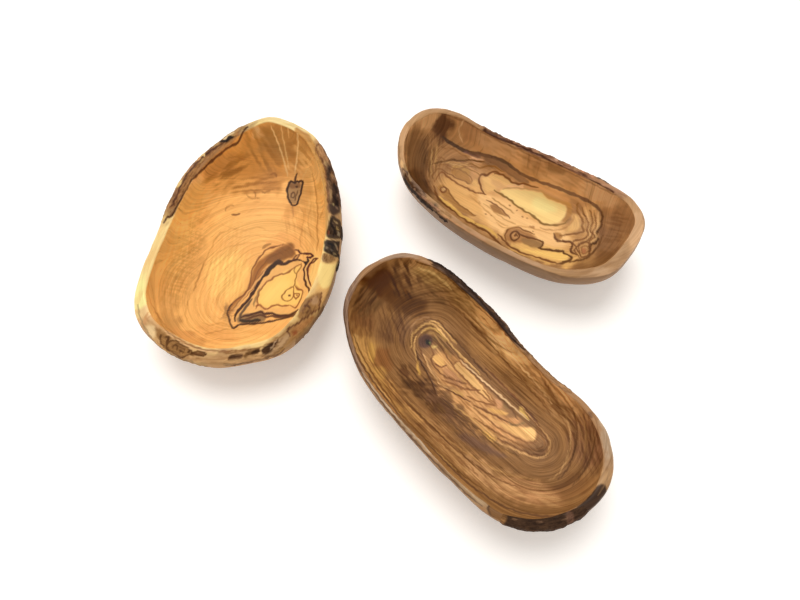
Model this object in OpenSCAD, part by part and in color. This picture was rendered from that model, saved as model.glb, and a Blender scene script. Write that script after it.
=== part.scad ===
// Three rustic serving dishes, each carved from one slab of olive wood,
// with remnants of bark left on their natural edges.
// Lengths are in millimetres. The dishes stand on z = 0.

/* [Round dish] */
// Length of the round dish, along its own long axis
round_l = 154; // [130:1:180]
// Width of the round dish
round_w = 102; // [90:1:120]
// Height of the round dish at its highest rim
round_h = 38; // [32:1:46]
// Wood left under the hollow of the round dish
round_floor = 8; // [6:0.5:11]
// Usual width of its slanted rim band
round_band = 7.5; // [5:0.5:9]
// Turn of the round dish on the table, in degrees
round_turn = 74; // [66:1:82]

/* [Oval dish] */
// Length of the oval dish, along its own long axis
oval_l = 148; // [125:1:170]
// Width of the oval dish
oval_w = 74; // [68:1:90]
// Height of the oval dish at its highest rim
oval_h = 38; // [32:1:46]
// Wood left under the hollow of the oval dish
oval_floor = 8; // [6:0.5:11]
// Usual width of its rim band
oval_band = 4; // [3:0.5:5]
// Turn of the oval dish on the table, in degrees
oval_turn = -30; // [-38:1:-22]

/* [Kidney dish] */
// Length of the kidney-shaped dish, along its own long axis
kidney_l = 162; // [140:1:185]
// Width of the kidney-shaped dish
kidney_w = 79; // [70:1:94]
// Height of the kidney-shaped dish at its highest rim
kidney_h = 34; // [29:1:42]
// Wood left under the hollow of the kidney-shaped dish
kidney_floor = 7; // [5:0.5:10]
// Usual width of its rim band
kidney_band = 3; // [2.5:0.5:4]
// Turn of the kidney-shaped dish on the table, in degrees
kidney_turn = -48; // [-56:1:-40]

/* [Bark] */
// Full thickness of a bark remnant
bark_t = 1.2; // [1:0.1:2.4]
// Run over which a remnant thins out towards each end
bark_taper = 9; // [4:1:16]

/* [Places on the table] */
// Clear gap between the round dish and the kidney dish
round_gap = 8.7; // [4:0.1:30]
// Sideways place of the round dish against the kidney dish
round_slide = 41; // [30:0.5:55]
// Clear gap between the oval dish and the kidney dish
oval_gap = 22; // [6:0.5:40]
// Sideways place of the oval dish against the kidney dish
oval_slide = 49.5; // [35:0.5:65]

/* [Hidden] */
// Directions in which the two gaps are measured, in degrees
round_gap_turn = 160;
oval_gap_turn = 50;

// Fall from the crest of the rim to the lip where the hollow starts
lip_fall = 0.6;
// Depth by which the blank runs below the table before its base is planed
plane_cut = 1;

// How finely the edge is cut: points between two neighbouring rim stations
per_station = 5;

// Rim stations, counter-clockwise from the tip of the long axis:
// place along half the length, place across half the width,
// crest height as a share of the full height, and rim band as a share of its usual width.
round_rim_shares = [
    [1.00, 0.28, 1.00, 0.80], [0.89, 0.55, 1.00, 0.80], [0.65, 0.80, 1.00, 1.00],
    [0.36, 0.97, 1.00, 1.15], [0.07, 0.98, 1.00, 1.05], [-0.20, 0.93, 1.00, 0.85],
    [-0.47, 0.91, 0.97, 0.85], [-0.71, 0.84, 0.94, 0.90], [-0.88, 0.64, 0.92, 0.95],
    [-0.97, 0.31, 0.90, 1.00], [-0.99, -0.10, 0.90, 0.90], [-0.89, -0.47, 0.90, 0.80],
    [-0.74, -0.78, 0.90, 0.90], [-0.46, -0.96, 0.92, 1.05], [-0.12, -0.99, 0.95, 1.10],
    [0.27, -0.86, 0.98, 1.05], [0.66, -0.57, 1.00, 1.00], [0.93, -0.19, 1.00, 0.90]];
oval_rim_shares = [
    [1.00, 0.36, 1.00, 1.50], [0.87, 0.75, 1.00, 1.50], [0.65, 0.87, 1.00, 1.30],
    [0.40, 0.88, 1.00, 1.10], [0.13, 0.89, 1.00, 1.00], [-0.15, 0.86, 1.00, 0.85],
    [-0.38, 0.88, 1.00, 0.85], [-0.65, 0.95, 1.00, 0.90], [-0.88, 0.84, 1.00, 1.40],
    [-0.98, 0.39, 1.00, 1.30], [-0.91, -0.10, 0.97, 0.90], [-0.73, -0.51, 0.95, 0.70],
    [-0.46, -0.75, 0.94, 0.70], [-0.20, -0.88, 0.93, 0.80], [0.10, -0.95, 0.93, 0.70],
    [0.40, -0.96, 0.94, 0.65], [0.70, -0.87, 0.96, 1.00], [0.95, -0.47, 1.00, 1.50]];
kidney_rim_shares = [
    [1.00, -0.03, 1.00, 1.50], [0.95, 0.46, 1.00, 1.80], [0.78, 0.77, 1.00, 1.60],
    [0.56, 0.86, 1.00, 1.10], [0.33, 0.81, 1.00, 0.90], [0.09, 0.83, 1.00, 0.80],
    [-0.15, 0.91, 1.00, 1.10], [-0.42, 0.93, 1.00, 1.20], [-0.69, 0.88, 1.00, 1.20],
    [-0.92, 0.62, 1.00, 1.20], [-0.99, 0.07, 1.00, 1.30], [-0.87, -0.46, 1.00, 1.00],
    [-0.60, -0.81, 1.00, 0.80], [-0.33, -0.96, 1.00, 0.80], [0.00, -1.00, 1.00, 0.80],
    [0.37, -1.00, 1.00, 0.80], [0.69, -0.92, 1.00, 1.20], [0.91, -0.58, 1.00, 1.60]];

// Fall of the slanted rim band, as a share of its width
round_fall_share = 0.55;
oval_fall_share = 0.4;
kidney_fall_share = 0.35;
// The flat oval base: its half axes as shares of half the length and half the width
round_base_shares = [0.58, 0.56];
oval_base_shares = [0.54, 0.48];
kidney_base_shares = [0.52, 0.48];
// Where the middle of the base lies, as shares of half the length and half the width
round_base_place_shares = [0, 0];
oval_base_place_shares = [0, 0.16];
kidney_base_place_shares = [0.04, 0.15];
// Where the deepest point of the hollow lies, as shares of the same
round_deep_place_shares = [-0.03, -0.04];
oval_deep_place_shares = [0, 0.135];
kidney_deep_place_shares = [0.04, 0.08];
// Fullness of the hollow, and of the outer wall on its near and far long sides,
// as the power of a superellipse: 2 is a true quarter ellipse
round_fullness_shares = [2.6, 1.9, 1.9];
oval_fullness_shares = [3.0, 1.6, 2.8];
kidney_fullness_shares = [2.2, 1.5, 2.8];

// Steps up the outer wall, as shares of a quarter turn
wall_shares = [0, 0.12, 0.26, 0.42, 0.58, 0.74, 0.88, 1];
// Points over the rim band: place across the band, and rise as a share of its fall
band_shares = [[0.55, 0.72], [0.92, 1]];
// Where the lip lies across the band
lip_share = 1.08;
// Rings down the hollow, as shares of the way out from its deepest point
hollow_shares = [1, 0.985, 0.955, 0.91, 0.85, 0.77, 0.67, 0.54, 0.38, 0.2];
// The hollow turns into an oval low down, of this share of the plan
low_oval_share = 0.9;

// Each dish: sizes, rim, fall, base, base place, deep place, fullness
ROUND = [round_l, round_w, round_h, round_floor, round_band, round_rim_shares, round_fall_share,
    round_base_shares, round_base_place_shares, round_deep_place_shares, round_fullness_shares];
OVAL = [oval_l, oval_w, oval_h, oval_floor, oval_band, oval_rim_shares, oval_fall_share,
    oval_base_shares, oval_base_place_shares, oval_deep_place_shares, oval_fullness_shares];
KIDNEY = [kidney_l, kidney_w, kidney_h, kidney_floor, kidney_band, kidney_rim_shares,
    kidney_fall_share, kidney_base_shares, kidney_base_place_shares, kidney_deep_place_shares,
    kidney_fullness_shares];

// Named places in that list
function half(d) = [d[0] / 2, d[1] / 2];
function height(d) = d[2];
function floor_t(d) = d[3];
function band(d) = d[4];
function rim_shares(d) = d[5];
function fall_share(d) = d[6];
function base_half(d) = [for (k = [0, 1]) half(d)[k] * d[7][k]];
function base_place(d) = [for (k = [0, 1]) half(d)[k] * d[8][k]];
function deep_place(d) = [for (k = [0, 1]) half(d)[k] * d[9][k]];
function hollow_power(d) = d[10][0];
function wall_power(d, a) = d[10][1] + (d[10][2] - d[10][1]) * (1 + sin(a)) / 2;

// A smooth closed curve through the rim stations
function smooth(a, b, c, e, t) = (2 * b + (c - a) * t + (2 * a - 5 * b + 4 * c - e) * t * t
    + (3 * b - a - 3 * c + e) * t * t * t) / 2;
function stations(d) = len(rim_shares(d));
function points_round(d) = stations(d) * per_station;
function rim_share_at(d, i) =
    let (n = stations(d), k = floor(i / per_station), t = i / per_station - k, s = rim_shares(d))
    smooth(s[(k + n - 1) % n], s[k % n], s[(k + 1) % n], s[(k + 2) % n], t);
function rim_rows(d) = [for (i = [0 : points_round(d) - 1]) rim_share_at(d, i)];

// Rim edge in plan, the way inwards from it, and the direction of each point from the middle
function edge(d, rows) = [for (r = rows) [r[0] * half(d)[0], r[1] * half(d)[1]]];
function unit(v) = v / norm(v);
function inwards(p) = let (n = len(p)) [for (i = [0 : n - 1])
    let (t = p[(i + 1) % n] - p[(i + n - 1) % n]) unit([-t[1], t[0]])];
function bearings(d, p) = [for (q = p) atan2(q[1] / half(d)[1], q[0] / half(d)[0])];
function oval_at(h, a) = [h[0] * cos(a), h[1] * sin(a)];

// One ring of points on the outer wall, v from 0 at the base to 1 at the rim edge
function wall_ring(d, rows, p, a, v) = [for (i = [0 : len(p) - 1])
    let (
        w = 2 / wall_power(d, a[i]),
        out = pow(sin(90 * v), w),
        up = 1 - pow(cos(90 * v), w),
        foot = base_place(d) + oval_at(base_half(d), a[i]),
        top = rows[i][2] * height(d) - rows[i][3] * band(d) * fall_share(d),
        q = foot + (p[i] - foot) * out)
    [q[0], q[1], top * up]];
// One ring over the rim band
function band_ring(d, rows, p, n, s) = [for (i = [0 : len(p) - 1])
    let (b = rows[i][3] * band(d), q = p[i] + n[i] * b * s[0])
    [q[0], q[1], rows[i][2] * height(d) - b * fall_share(d) * (1 - s[1])]];
// One ring down the hollow, s from 1 at the lip to 0 at the deepest point
function hollow_ring(d, rows, p, n, a, s) = [for (i = [0 : len(p) - 1])
    let (
        lip = p[i] + n[i] * rows[i][3] * band(d) * lip_share,
        low = oval_at(half(d) * low_oval_share, a[i]),
        plan = lip * s * s + low * (1 - s * s),
        q = plan * s + deep_place(d) * (1 - s * s * s * s),
        rise = 1 - pow(1 - pow(s, hollow_power(d)), 1 / hollow_power(d)),
        top = rows[i][2] * height(d) - lip_fall)
    [q[0], q[1], floor_t(d) + (top - floor_t(d)) * rise]];

// All rings of a dish, from the base up the wall, over the rim and down the hollow
function rings(d) =
    let (
        rows = rim_rows(d),
        p = edge(d, rows),
        n = inwards(p),
        a = bearings(d, p))
    concat(
        [for (v = wall_shares) wall_ring(d, rows, p, a, v)],
        [for (s = band_shares) band_ring(d, rows, p, n, s)],
        [for (s = hollow_shares) hollow_ring(d, rows, p, n, a, s)]);

// Two triangles for each cell of a closed band of rings
function cell(m, r, i, j) = [[r * m + i, (r + 1) * m + i, (r + 1) * m + j],
    [r * m + i, (r + 1) * m + j, r * m + j]];
function flat(list) = [for (part = list) each part];

// The wooden body: a carved blank whose foot is planed flat on z = 0
module wood(d) {
    all = rings(d);
    m = points_round(d);
    foot = [for (q = all[0]) [q[0], q[1], -plane_cut]];
    deep = [deep_place(d)[0], deep_place(d)[1], floor_t(d)];
    count = len(all) + 1;
    points = concat(foot, flat(all), [deep]);
    sides = flat([for (r = [0 : count - 2], i = [0 : m - 1]) cell(m, r, i, (i + 1) % m)]);
    middle = [for (i = [0 : m - 1]) [(count - 1) * m + i, count * m, (count - 1) * m + (i + 1) % m]];
    difference() {
        polyhedron(points = points, faces = concat([[for (i = [0 : m - 1]) i]], sides, middle));
        translate([-d[0], -d[1], -2 * plane_cut])
            cube([2 * d[0], 2 * d[1], 2 * plane_cut]);
    }
}

// Rings of the wood that a bark remnant covers: the top of the wall and the rim band
BARK_RINGS = [6, 7, 8, 9];
// Outward and upward lean of the bark over each of those rings, and its share of the thickness
bark_lean_shares = [[1, 0.1], [0.85, 0.5], [0.5, 0.85], [0.25, 0.97]];
bark_depth_shares = [0.35, 1, 1, 0.45];
// The thinnest that a remnant gets at its ends, and how uneven its skin is
bark_end_share = 0.3;
bark_rough_share = 0.22;
// Step of the unevenness from point to point, in degrees
bark_rough_step = 137;

// Thickness of a remnant at the place i of its run from i0 to i1, one step being a length
function bark_depth(i, i0, i1, step) =
    let (end_way = min(i - i0, i1 - i) * step)
    bark_t * (1 - bark_rough_share * (1 + sin(bark_rough_step * i)) / 2)
        * (bark_end_share + (1 - bark_end_share) * min(1, end_way / bark_taper));

// Ring of points of a remnant at place i: up the wood, then back down the outside
function bark_ring(all, n, i, depth) =
    let (k = i % len(n))
    concat(
        [for (r = BARK_RINGS) all[r][k]],
        [for (c = [len(BARK_RINGS) - 1 : -1 : 0])
            let (lean = bark_lean_shares[c], t = depth * bark_depth_shares[c])
            all[BARK_RINGS[c]][k] + t * [-n[k][0] * lean[0], -n[k][1] * lean[0], lean[1]]]);

// All rings of a remnant that runs between two places on the rim
function bark_rings(d, run) =
    let (
        all = rings(d),
        p = edge(d, rim_rows(d)),
        n = inwards(p),
        i0 = round(run[0] * len(p)),
        i1 = round(run[1] * len(p)),
        step = norm(p[(i0 + 1) % len(p)] - p[i0 % len(p)]))
    [for (i = [i0 : i1]) bark_ring(all, n, i, bark_depth(i, i0, i1, step))];

// A bark remnant that lies on the wood
module bark(d, run) {
    all = bark_rings(d, run);
    w = 2 * len(BARK_RINGS);
    last = len(all) - 1;
    skin = flat([for (r = [0 : last - 1], k = [0 : w - 1])
        let (a = r * w + k, b = r * w + (k + 1) % w, c = b + w, e = a + w)
        [[a, e, c], [a, c, b]]]);
    ends = flat([for (k = [0 : w / 2 - 2]) [[k, k + 1, w - 2 - k], [k, w - 2 - k, w - 1 - k]]]);
    far_ends = [for (f = ends) [f[2] + last * w, f[1] + last * w, f[0] + last * w]];
    polyhedron(points = flat(all), faces = concat(skin, ends, far_ends));
}

// Where each bark remnant starts and ends, as shares of the way round the rim
round_bark_back_shares = [0.055, 0.267];
round_bark_right_shares = [0.844, 0.933];
round_bark_chip_shares = [0.811, 0.833];
round_bark_corner_shares = [0.778, 0.8];
round_bark_side_shares = [0.678, 0.744];
round_bark_front_shares = [0.578, 0.667];
round_bark_left_shares = [0.467, 0.556];
oval_bark_back_shares = [0.111, 0.356];
oval_bark_front_shares = [0.6, 0.711];
kidney_bark_back_shares = [0.178, 0.467];
kidney_bark_front_shares = [0.889, 1];

// Places on the table: the kidney dish is set down first and the others stand clear of it
function turned(p, a) = [for (q = p) [q[0] * cos(a) - q[1] * sin(a), q[0] * sin(a) + q[1] * cos(a)]];
function way(a) = [cos(a), sin(a)];
function reach(p, a) = max([for (q = p) q * way(a)]);
function bark_plan(d, runs) = [for (run = runs, ring = bark_rings(d, run), q = ring) [q[0], q[1]]];
function plan(d, runs, turn) = turned(concat(edge(d, rim_rows(d)), bark_plan(d, runs)), turn);
round_plan = plan(ROUND, [round_bark_back_shares, round_bark_right_shares, round_bark_chip_shares,
    round_bark_corner_shares, round_bark_side_shares, round_bark_front_shares, round_bark_left_shares],
    round_turn);
oval_plan = plan(OVAL, [oval_bark_back_shares, oval_bark_front_shares], oval_turn);
kidney_plan = plan(KIDNEY, [kidney_bark_back_shares, kidney_bark_front_shares], kidney_turn);
function beside(plan, a, gap, slide) = slide * way(a + 90)
    + (reach(kidney_plan, a) + gap + reach(plan, a + 180)) * way(a);
round_place = beside(round_plan, round_gap_turn, round_gap, -round_slide);
oval_place = beside(oval_plan, oval_gap_turn, oval_gap, oval_slide);
// The origin is under the middle of the whole set
set_points = concat([for (q = round_plan) q + round_place], [for (q = oval_plan) q + oval_place],
    kidney_plan);
set_middle = [reach(set_points, 0) - reach(set_points, 180),
    reach(set_points, 90) - reach(set_points, 270)] / 2;
module at(place, turn) {
    translate([place[0] - set_middle[0], place[1] - set_middle[1], 0]) rotate([0, 0, turn]) children();
}
module place_round() { at(round_place, round_turn) children(); }
module place_oval() { at(oval_place, oval_turn) children(); }
module place_kidney() { at([0, 0], kidney_turn) children(); }

module round_dish_wood() { color("#d9a45f") place_round() wood(ROUND); }
module oval_dish_wood() { color("#9a6a3f") place_oval() wood(OVAL); }
module kidney_dish_wood() { color("#8a6238") place_kidney() wood(KIDNEY); }
module round_bark(run, shade) { color(shade) place_round() bark(ROUND, run); }
module oval_bark(run, shade) { color(shade) place_oval() bark(OVAL, run); }
module kidney_bark(run, shade) { color(shade) place_kidney() bark(KIDNEY, run); }

round_dish_wood();
round_bark(round_bark_back_shares, "#6b4a30");  // round_bark_back
round_bark(round_bark_right_shares, "#5d4330");  // round_bark_right
round_bark(round_bark_chip_shares, "#3b332b");  // round_bark_chip
round_bark(round_bark_corner_shares, "#3b332b");  // round_bark_corner
round_bark(round_bark_side_shares, "#9a7048");  // round_bark_side
round_bark(round_bark_front_shares, "#7d5a3a");  // round_bark_front
round_bark(round_bark_left_shares, "#94704a");  // round_bark_left
oval_dish_wood();
oval_bark(oval_bark_back_shares, "#4f3422");  // oval_bark_back
oval_bark(oval_bark_front_shares, "#3f2c20");  // oval_bark_front
kidney_dish_wood();
kidney_bark(kidney_bark_back_shares, "#33261e");  // kidney_bark_back
kidney_bark(kidney_bark_front_shares, "#3a2a20");  // kidney_bark_front
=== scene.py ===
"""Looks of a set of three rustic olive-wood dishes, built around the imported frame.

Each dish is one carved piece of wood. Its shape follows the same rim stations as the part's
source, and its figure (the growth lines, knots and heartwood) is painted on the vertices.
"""

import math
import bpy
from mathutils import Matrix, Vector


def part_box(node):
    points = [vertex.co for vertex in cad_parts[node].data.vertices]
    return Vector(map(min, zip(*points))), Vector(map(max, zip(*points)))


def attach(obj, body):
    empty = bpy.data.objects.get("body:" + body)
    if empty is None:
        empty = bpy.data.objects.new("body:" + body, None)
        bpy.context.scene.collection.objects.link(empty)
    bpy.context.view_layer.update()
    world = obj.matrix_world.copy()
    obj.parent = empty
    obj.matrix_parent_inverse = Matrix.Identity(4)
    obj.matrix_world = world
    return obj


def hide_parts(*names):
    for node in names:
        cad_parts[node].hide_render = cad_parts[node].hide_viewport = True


bl_info = {
    "name": "Olive-wood dish set",
    "version": (1, 0, 0),
    "blender": (4, 5, 0),
    "location": "View3D > Sidebar > Olive dishes",
    "description": "Three carved dishes of oiled olive wood with bark on their edges",
    "category": "Add Mesh",
}

import bpy
import numpy as np
from bpy.props import FloatProperty, FloatVectorProperty, PointerProperty
from mathutils import Vector
from mathutils.bvhtree import BVHTree

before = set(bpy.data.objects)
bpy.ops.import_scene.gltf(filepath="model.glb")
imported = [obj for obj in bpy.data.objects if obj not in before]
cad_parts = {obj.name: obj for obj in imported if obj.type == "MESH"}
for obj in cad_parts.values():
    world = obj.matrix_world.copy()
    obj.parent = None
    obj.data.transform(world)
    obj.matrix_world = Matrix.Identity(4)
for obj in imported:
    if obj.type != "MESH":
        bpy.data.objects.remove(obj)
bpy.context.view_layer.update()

MM = 0.001

# Photograph: its frame, and the camera that it was fitted with
PHOTO_WIDE_PX = 800
PHOTO_HIGH_PX = 600
PHOTO_FOCAL_PX = 750
CAMERA_ELEVATION = math.radians(62)
CAMERA_DISTANCE = 400 * MM
CAMERA_TARGET = Vector((2.328, 3.945, 15)) * MM
SENSOR_WIDE_MM = 36
TO_CAMERA = np.array([0, -math.cos(CAMERA_ELEVATION), math.sin(CAMERA_ELEVATION)])
CAMERA_RIGHT = np.array([1.0, 0, 0])
CAMERA_UP = np.cross(TO_CAMERA, CAMERA_RIGHT)
CAMERA_PLACE = np.array(CAMERA_TARGET) + CAMERA_DISTANCE * TO_CAMERA

# Mesh: points round a dish, the spacing of rings down its hollow, and the rings elsewhere. Near
# the rim, rings on both sides of the band are smoothed with it.
AROUND = 768
RING_STEP = 0.58 * MM
SLOPE_SAMPLES = 4000
WALL_RINGS = 26
PLAIN_RINGS = 20
BAND_RINGS = 12
MOST_HALVINGS = 5
RIM_SMOOTHINGS = 5
SMOOTHED_ON_WALL = 2
SMOOTHED_IN_HOLLOW = 4
BASE_SHARES = (0.12, 0.3, 0.5, 0.7, 0.86, 0.96)

# Rim stations of each dish, counter-clockwise: share of half the length, share of half the
# width, crest height share and rim band share
ROUND_RIM_SHARES = (
    (1.00, 0.28, 1.00, 0.80), (0.89, 0.55, 1.00, 0.80), (0.65, 0.80, 1.00, 1.00),
    (0.36, 0.97, 1.00, 1.15), (0.07, 0.98, 1.00, 1.05), (-0.20, 0.93, 1.00, 0.85),
    (-0.47, 0.91, 0.97, 0.85), (-0.71, 0.84, 0.94, 0.90), (-0.88, 0.64, 0.92, 0.95),
    (-0.97, 0.31, 0.90, 1.00), (-0.99, -0.10, 0.90, 0.90), (-0.89, -0.47, 0.90, 0.80),
    (-0.74, -0.78, 0.90, 0.90), (-0.46, -0.96, 0.92, 1.05), (-0.12, -0.99, 0.95, 1.10),
    (0.27, -0.86, 0.98, 1.05), (0.66, -0.57, 1.00, 1.00), (0.93, -0.19, 1.00, 0.90))
OVAL_RIM_SHARES = (
    (1.00, 0.36, 1.00, 1.50), (0.87, 0.75, 1.00, 1.50), (0.65, 0.87, 1.00, 1.30),
    (0.40, 0.88, 1.00, 1.10), (0.13, 0.89, 1.00, 1.00), (-0.15, 0.86, 1.00, 0.85),
    (-0.38, 0.88, 1.00, 0.85), (-0.65, 0.95, 1.00, 0.90), (-0.88, 0.84, 1.00, 1.40),
    (-0.98, 0.39, 1.00, 1.30), (-0.91, -0.10, 0.97, 0.90), (-0.73, -0.51, 0.95, 0.70),
    (-0.46, -0.75, 0.94, 0.70), (-0.20, -0.88, 0.93, 0.80), (0.10, -0.95, 0.93, 0.70),
    (0.40, -0.96, 0.94, 0.65), (0.70, -0.87, 0.96, 1.00), (0.95, -0.47, 1.00, 1.50))
KIDNEY_RIM_SHARES = (
    (1.00, -0.03, 1.00, 1.50), (0.95, 0.46, 1.00, 1.80), (0.78, 0.77, 1.00, 1.60),
    (0.56, 0.86, 1.00, 1.10), (0.33, 0.81, 1.00, 0.90), (0.09, 0.83, 1.00, 0.80),
    (-0.15, 0.91, 1.00, 1.10), (-0.42, 0.93, 1.00, 1.20), (-0.69, 0.88, 1.00, 1.20),
    (-0.92, 0.62, 1.00, 1.20), (-0.99, 0.07, 1.00, 1.30), (-0.87, -0.46, 1.00, 1.00),
    (-0.60, -0.81, 1.00, 0.80), (-0.33, -0.96, 1.00, 0.80), (0.00, -1.00, 1.00, 0.80),
    (0.37, -1.00, 1.00, 0.80), (0.69, -0.92, 1.00, 1.20), (0.91, -0.58, 1.00, 1.60))

# What shapes each dish besides its sizes: fall of the rim band, base and its place, deepest
# place, and fullness of the hollow and of the near and far outer walls
SHAPES = {
    "round": dict(rim=ROUND_RIM_SHARES, fall=0.55, base=(0.58, 0.56), base_place=(0, 0),
                  deep_place=(-0.03, -0.04), fullness=(2.6, 1.9, 1.9)),
    "oval": dict(rim=OVAL_RIM_SHARES, fall=0.4, base=(0.54, 0.48), base_place=(0, 0.16),
                 deep_place=(0, 0.135), fullness=(3.0, 1.6, 2.8)),
    "kidney": dict(rim=KIDNEY_RIM_SHARES, fall=0.35, base=(0.52, 0.48), base_place=(0.04, 0.15),
                   deep_place=(0.04, 0.08), fullness=(2.2, 1.5, 2.8)),
}
STATION_STEPS = 5
LIP_FALL = 0.6 * MM
LOW_OVAL_SHARE = 0.9
TOP_SHARE = 0.92
LIP_SHARE = 1.08
BAND_CURVE = ((0, 0), (0.55, 0.72), (TOP_SHARE, 1), (LIP_SHARE, 1))

# Shortest and longest wave of a random field, as shares of its size
WAVE_SPREAD = (0.6, 1.7)

# Bark remnants: where each starts and ends, as shares of the way round the rim, and its finish
BARK_RUNS = {
    "round_bark_back": (0.055, 0.267, "brown_bark"),
    "round_bark_right": (0.844, 0.933, "brown_bark"),
    "round_bark_chip": (0.811, 0.833, "dark_bark"),
    "round_bark_corner": (0.778, 0.8, "dark_bark"),
    "round_bark_side": (0.678, 0.744, "inner_bark"),
    "round_bark_front": (0.578, 0.667, "brown_bark"),
    "round_bark_left": (0.467, 0.556, "inner_bark"),
    "oval_bark_back": (0.111, 0.356, "brown_bark"),
    "oval_bark_front": (0.6, 0.711, "dark_bark"),
    "kidney_bark_back": (0.178, 0.467, "dark_bark"),
    "kidney_bark_front": (0.889, 1, "dark_bark"),
}


def srgb(hex_colour):
    """An sRGB hex value as red, green and blue from 0 to 1, for mixing as paints."""
    return np.array([int(hex_colour[i:i + 2], 16) / 255 for i in (1, 3, 5)])


def to_linear(colour):
    """Colours in sRGB turned to linear light."""
    colour = np.clip(colour, 0, 1)
    return np.where(colour <= 0.04045, colour / 12.92, ((colour + 0.055) / 1.055) ** 2.4)


def linear(hex_colour):
    """An sRGB hex value as linear red, green and blue."""
    return tuple(to_linear(srgb(hex_colour)).tolist())


def ease(x):
    """A smooth step from 0 to 1."""
    x = np.clip(x, 0, 1)
    return x * x * (3 - 2 * x)


def ripple(points, size, seed, waves=14):
    """A smooth random field from about -1 to 1, whose waves are about size long."""
    draw = np.random.default_rng(seed)
    total = np.zeros(len(points))
    for _ in range(waves):
        way = draw.normal(size=points.shape[1])
        way /= np.linalg.norm(way)
        length = size * draw.uniform(*WAVE_SPREAD)
        total += np.sin(points @ way * (2 * math.pi / length) + draw.uniform(0, 2 * math.pi))
    return total / math.sqrt(waves)


def between(a, b, c, e, t):
    """Where a smooth curve through four places stands, t from 0 at the second to 1 at the third."""
    return (2 * b + (c - a) * t + (2 * a - 5 * b + 4 * c - e) * t ** 2
            + (3 * b - a - 3 * c + e) * t ** 3) / 2


def photo_pixels(points):
    """Where points of the row frame stand in the photograph's frame."""
    seen = points - CAMERA_PLACE
    depth = -(seen @ TO_CAMERA)
    return np.stack([PHOTO_WIDE_PX / 2 + PHOTO_FOCAL_PX * (seen @ CAMERA_RIGHT) / depth,
                     PHOTO_HIGH_PX / 2 - PHOTO_FOCAL_PX * (seen @ CAMERA_UP) / depth], 1)


def table_place(pixel, height):
    """The plan place at some height that a pixel of the photograph shows."""
    ray = ((pixel[0] - PHOTO_WIDE_PX / 2) * CAMERA_RIGHT + (PHOTO_HIGH_PX / 2 - pixel[1]) * CAMERA_UP
           - PHOTO_FOCAL_PX * TO_CAMERA)
    return (CAMERA_PLACE + ray * (height - CAMERA_PLACE[2]) / ray[2])[:2]


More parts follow.
